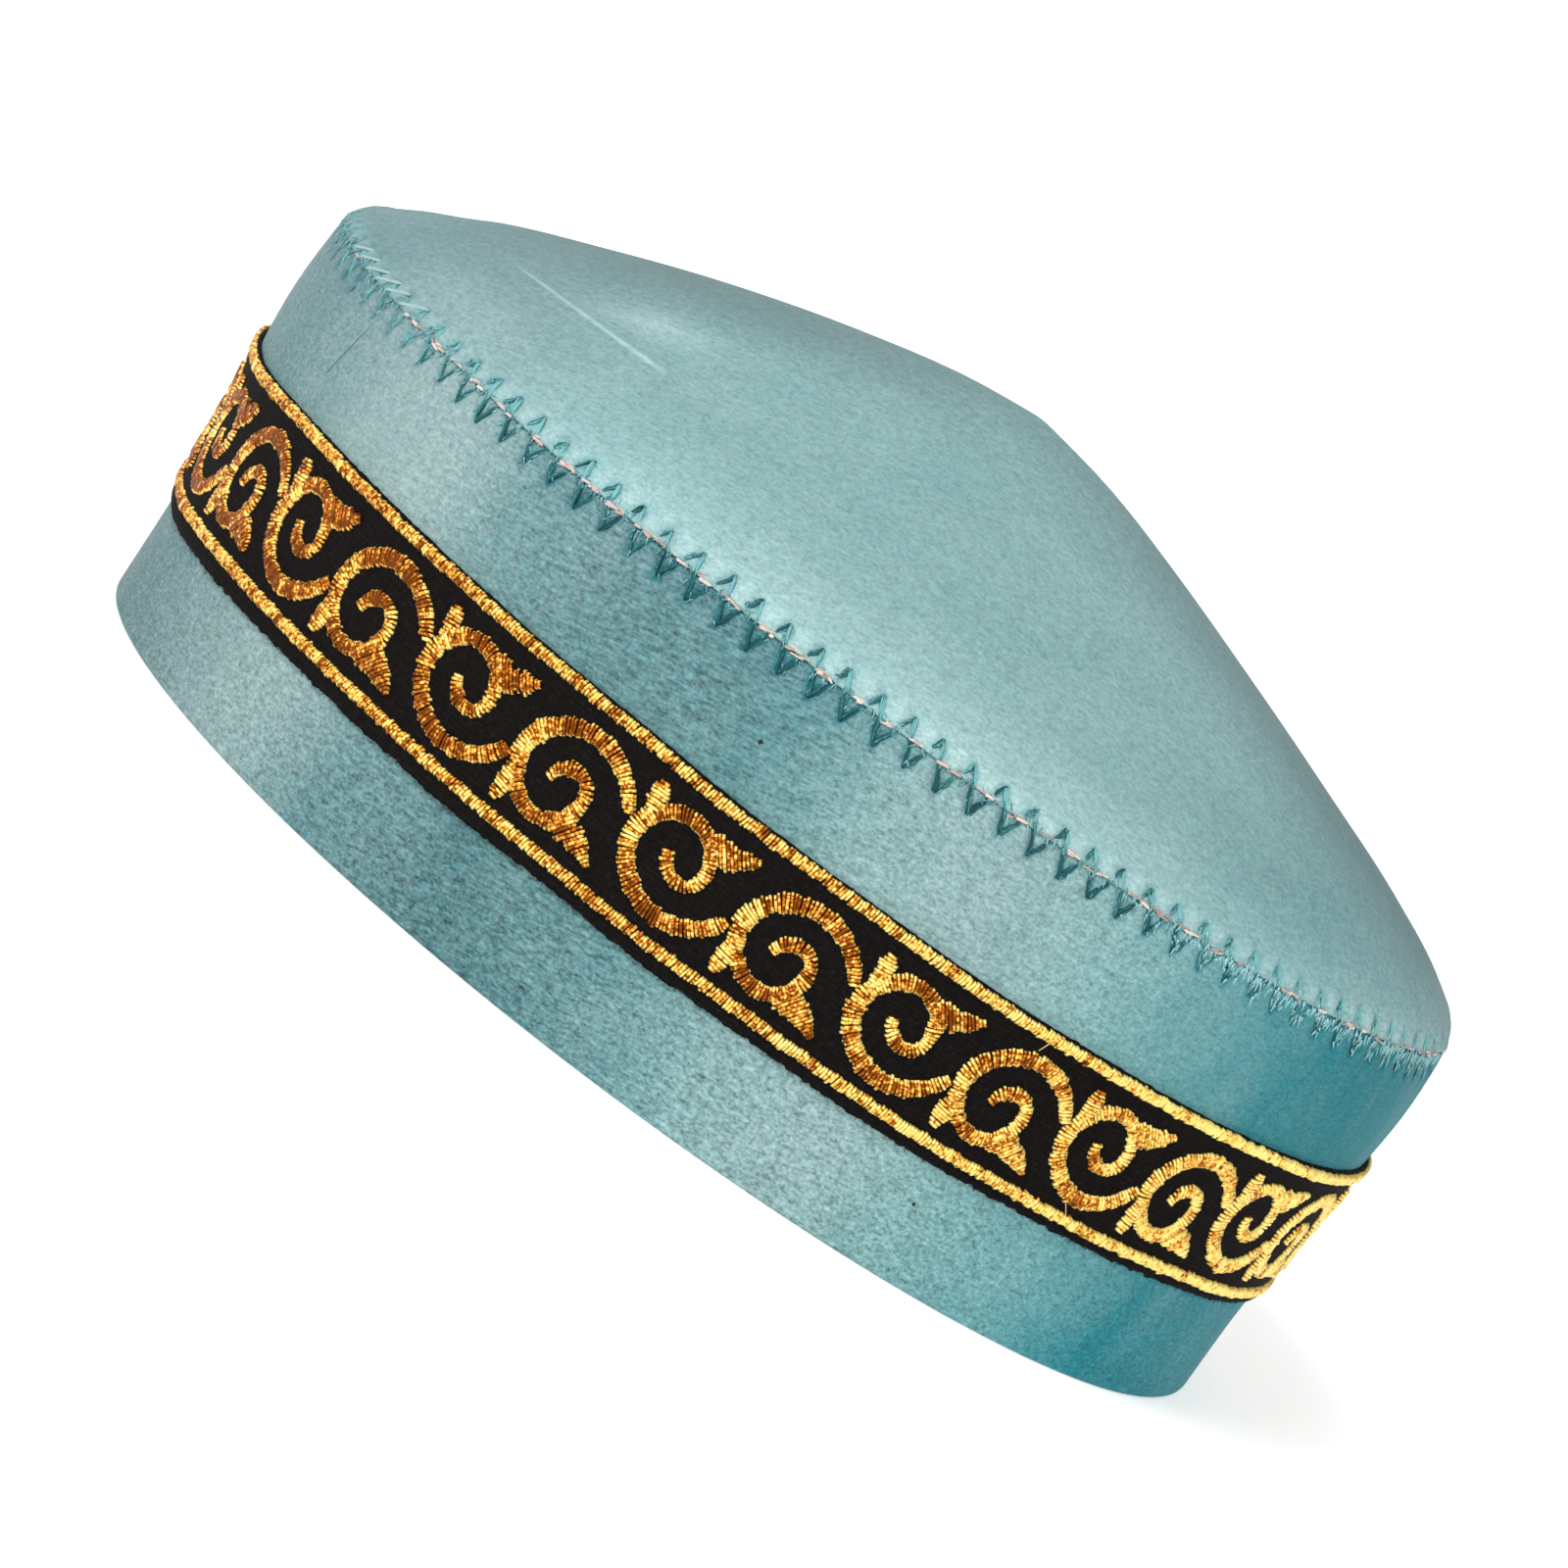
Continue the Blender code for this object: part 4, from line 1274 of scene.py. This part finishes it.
class SKULLCAP_OT_loose_fibres(bpy.types.Operator):
    """Fibres frayed from the ribbon's selvedges, and the few stray threads and specks of lint"""

    bl_idname = "skullcap.loose_fibres"
    bl_label = "Loose fibres"

    def execute(self, context):
        chance = np.random.default_rng(51)
        count, lower_count = 2600, 2100
        at = chance.uniform(0, RIBBON.whole, count)
        lower = np.arange(count) < lower_count
        foot = RIBBON_FOOT + sway(RIBBON.angle_at(at), SWAY_FOOT) + 0.25 * MM
        roots = np.stack([at, np.where(lower, foot, RIBBON_TOP - 0.3 * MM)], axis=1)
        heading = np.where(lower, -1, 1) * (TURN / 4 + chance.normal(0, 0.6, count))
        length = np.where(lower, chance.uniform(0.3, 0.95, count), chance.uniform(0.25, 0.6, count)) * MM
        tips = headed(roots, heading, length)
        piece = lay_threads(
            "ribbon_fray", model_tuft(), roots, tips, 0.13 * MM, 0.10 * MM,
            lambda girth, height, lift: on_ribbon(girth, height, lift - 0.55 * MM),
            chance.uniform(-0.4, 0.5, count),
        )
        fibre = thread_finish("frayed_fibre", (0.012, 0.008, 0.007), (0.085, 0.045, 0.030))
        settle(piece, material=fibre)
        for name, rows, colour, lightest in (
            ("stray_gold", STRAY_GOLD, (0.62, 0.46, 0.22), (1.0, 0.9, 0.66)),
            ("stray_lint", STRAY_LINT, (0.030, 0.014, 0.012), (0.06, 0.03, 0.03)),
        ):
            x, height, run, climb, width, off_cloth = (np.array(rows) * MM).T
            angle = -np.arccos((x - RIM_CENTRE) / HALF_LENGTH)
            start = np.stack([RIBBON.passed_at(angle), height], axis=1)
            end = start + np.stack([run, climb], axis=1)
            raised = off_cloth[0] - RIBBON_FACE
            piece = lay_threads(
                name, model_thread(6), start, end, width, width * 0.9,
                lambda girth, height, lift, raised=raised: on_ribbon(girth, height, lift + raised),
                np.zeros(len(rows)),
            )
            settle(piece, material=thread_finish(name, colour, lightest))
        return {"FINISHED"}


class SKULLCAP_OT_studio(bpy.types.Operator):
    """Pale bowl for a floor, soft lights and the camera"""

    bl_idname = "skullcap.studio"
    bl_label = "Studio"

    def execute(self, context):
        self.add_floor(context)
        self.add_lights(context)
        self.add_camera(context)
        context.scene.view_settings.view_transform = "Standard"
        return {"FINISHED"}

    def add_floor(self, context):
        """Round floor whose edge curves up into a bowl."""
        start_piece()
        bpy.ops.mesh.primitive_circle_add(
            vertices=96, radius=FLOOR_RADIUS, fill_type="TRIFAN", location=(0, 0, 0)
        )
        floor = context.object
        floor.name = "pale_floor"
        edit_piece("EDGE")
        bpy.ops.mesh.region_to_loop()
        radius, height = FLOOR_RADIUS, 0.0
        for step in range(1, 15):
            turn = math.radians(step * 6)
            next_radius = FLOOR_RADIUS + BOWL_RADIUS * math.sin(turn)
            next_height = BOWL_RADIUS * (1 - math.cos(turn))
            bpy.ops.mesh.extrude_region_move(TRANSFORM_OT_translate={"value": (0, 0, next_height - height)})
            bpy.ops.transform.resize(
                value=(next_radius / radius, next_radius / radius, 1), center_override=(0, 0, next_height)
            )
            radius, height = next_radius, next_height
        close_piece(inside=True)
        if floor.data.polygons[0].normal.z < 0:
            floor.data.flip_normals()
        pale = Finish(
            "pale_floor", Roughness=0.85, Specular_IOR_Level=0.1,
            Emission_Color=(1, 1, 1, 1), Emission_Strength=0.42,
        )
        tone = pale.noise(pale.place(), 40, 3.0) + 0.5
        white = Vector(colours().floor)
        pale.shade("Base Color", pale.ramp(tone, (0.0, white * 0.985), (1.0, white)))
        floor.data.materials.append(pale.made)

    def add_lights(self, context):
        """White room, one strong soft light and one weak one."""
        world = bpy.data.worlds.new("pale_room")
        world.use_nodes = True
        sky = world.node_tree.nodes["Background"]
        sky.inputs["Color"].default_value = (1, 1, 1, 1)
        sky.inputs["Strength"].default_value = 0.43
        context.scene.world = world
        for name, location, size, power in LAMPS:
            lamp = bpy.data.lights.new(name, "AREA")
            lamp.shape = "DISK"
            lamp.size = size
            lamp.energy = power
            place = bpy.data.objects.new(name, lamp)
            place.location = location
            place.rotation_euler = (LAMPS_AIM - Vector(location)).to_track_quat("-Z", "Y").to_euler()
            context.scene.collection.objects.link(place)

    def add_camera(self, context):
        """Camera that is rolled as the photo is, and aimed a little off the cap's middle."""
        ahead = (EYE_AIM - EYE).normalized()
        level = ahead.cross(Vector((0, 0, 1))).normalized()
        above = level.cross(ahead)
        right = math.cos(CAMERA_ROLL) * level + math.sin(CAMERA_ROLL) * above
        up = math.cos(CAMERA_ROLL) * above - math.sin(CAMERA_ROLL) * level
        aside, over = (pixels / FOCAL_PIXELS for pixels in OFF_CENTRE_PIXELS)
        ahead = (ahead - right * aside - up * over).normalized()
        right = (right - ahead * right.dot(ahead)).normalized()
        up = right.cross(ahead)
        data = bpy.data.cameras.new("camera")
        data.sensor_width = SENSOR_WIDTH
        data.lens = SENSOR_WIDTH * FOCAL_PIXELS / PHOTO_PIXELS
        data.clip_start = 0.01
        data.clip_end = 50
        camera = bpy.data.objects.new("camera", data)
        camera.matrix_world = Matrix.Translation(EYE) @ Matrix((right, up, -ahead)).transposed().to_4x4()
        context.scene.collection.objects.link(camera)
        context.scene.camera = camera


class SKULLCAP_PT_panel(bpy.types.Panel):
    """Makes the skullcap's pieces"""

    bl_label = "Skullcap"
    bl_idname = "SKULLCAP_PT_panel"
    bl_space_type = "VIEW_3D"
    bl_region_type = "UI"
    bl_category = "Skullcap"

    def draw(self, context):
        for group in (context.scene.skullcap_sizes, context.scene.skullcap_colours):
            box = self.layout.box()
            for name in group.__annotations__:
                box.prop(group, name)
        for operator in OPERATORS:
            self.layout.operator(operator.bl_idname)


OPERATORS = (
    SKULLCAP_OT_velvet_band,
    SKULLCAP_OT_velvet_crown,
    SKULLCAP_OT_black_ribbon,
    SKULLCAP_OT_gold_borders,
    SKULLCAP_OT_gold_scroll,
    SKULLCAP_OT_seam_threads,
    SKULLCAP_OT_seam_pile,
    SKULLCAP_OT_loose_fibres,
    SKULLCAP_OT_studio,
)
CLASSES = (SkullcapSizes, SkullcapColours, *OPERATORS, SKULLCAP_PT_panel)


def register():
    """Adds the classes and the scene's properties."""
    for made in CLASSES:
        bpy.utils.register_class(made)
    bpy.types.Scene.skullcap_sizes = PointerProperty(type=SkullcapSizes)
    bpy.types.Scene.skullcap_colours = PointerProperty(type=SkullcapColours)


def unregister():
    """Takes away what register added."""
    del bpy.types.Scene.skullcap_colours
    del bpy.types.Scene.skullcap_sizes
    for made in reversed(CLASSES):
        bpy.utils.unregister_class(made)


def main():
    """Makes every piece and the studio."""
    register()
    bpy.ops.skullcap.velvet_band()
    bpy.ops.skullcap.velvet_crown()
    bpy.ops.skullcap.black_ribbon()
    bpy.ops.skullcap.gold_borders()
    bpy.ops.skullcap.gold_scroll()
    bpy.ops.skullcap.seam_threads()
    bpy.ops.skullcap.seam_pile()
    bpy.ops.skullcap.loose_fibres()
    bpy.ops.skullcap.studio()


if __name__ == "__main__":
    main()
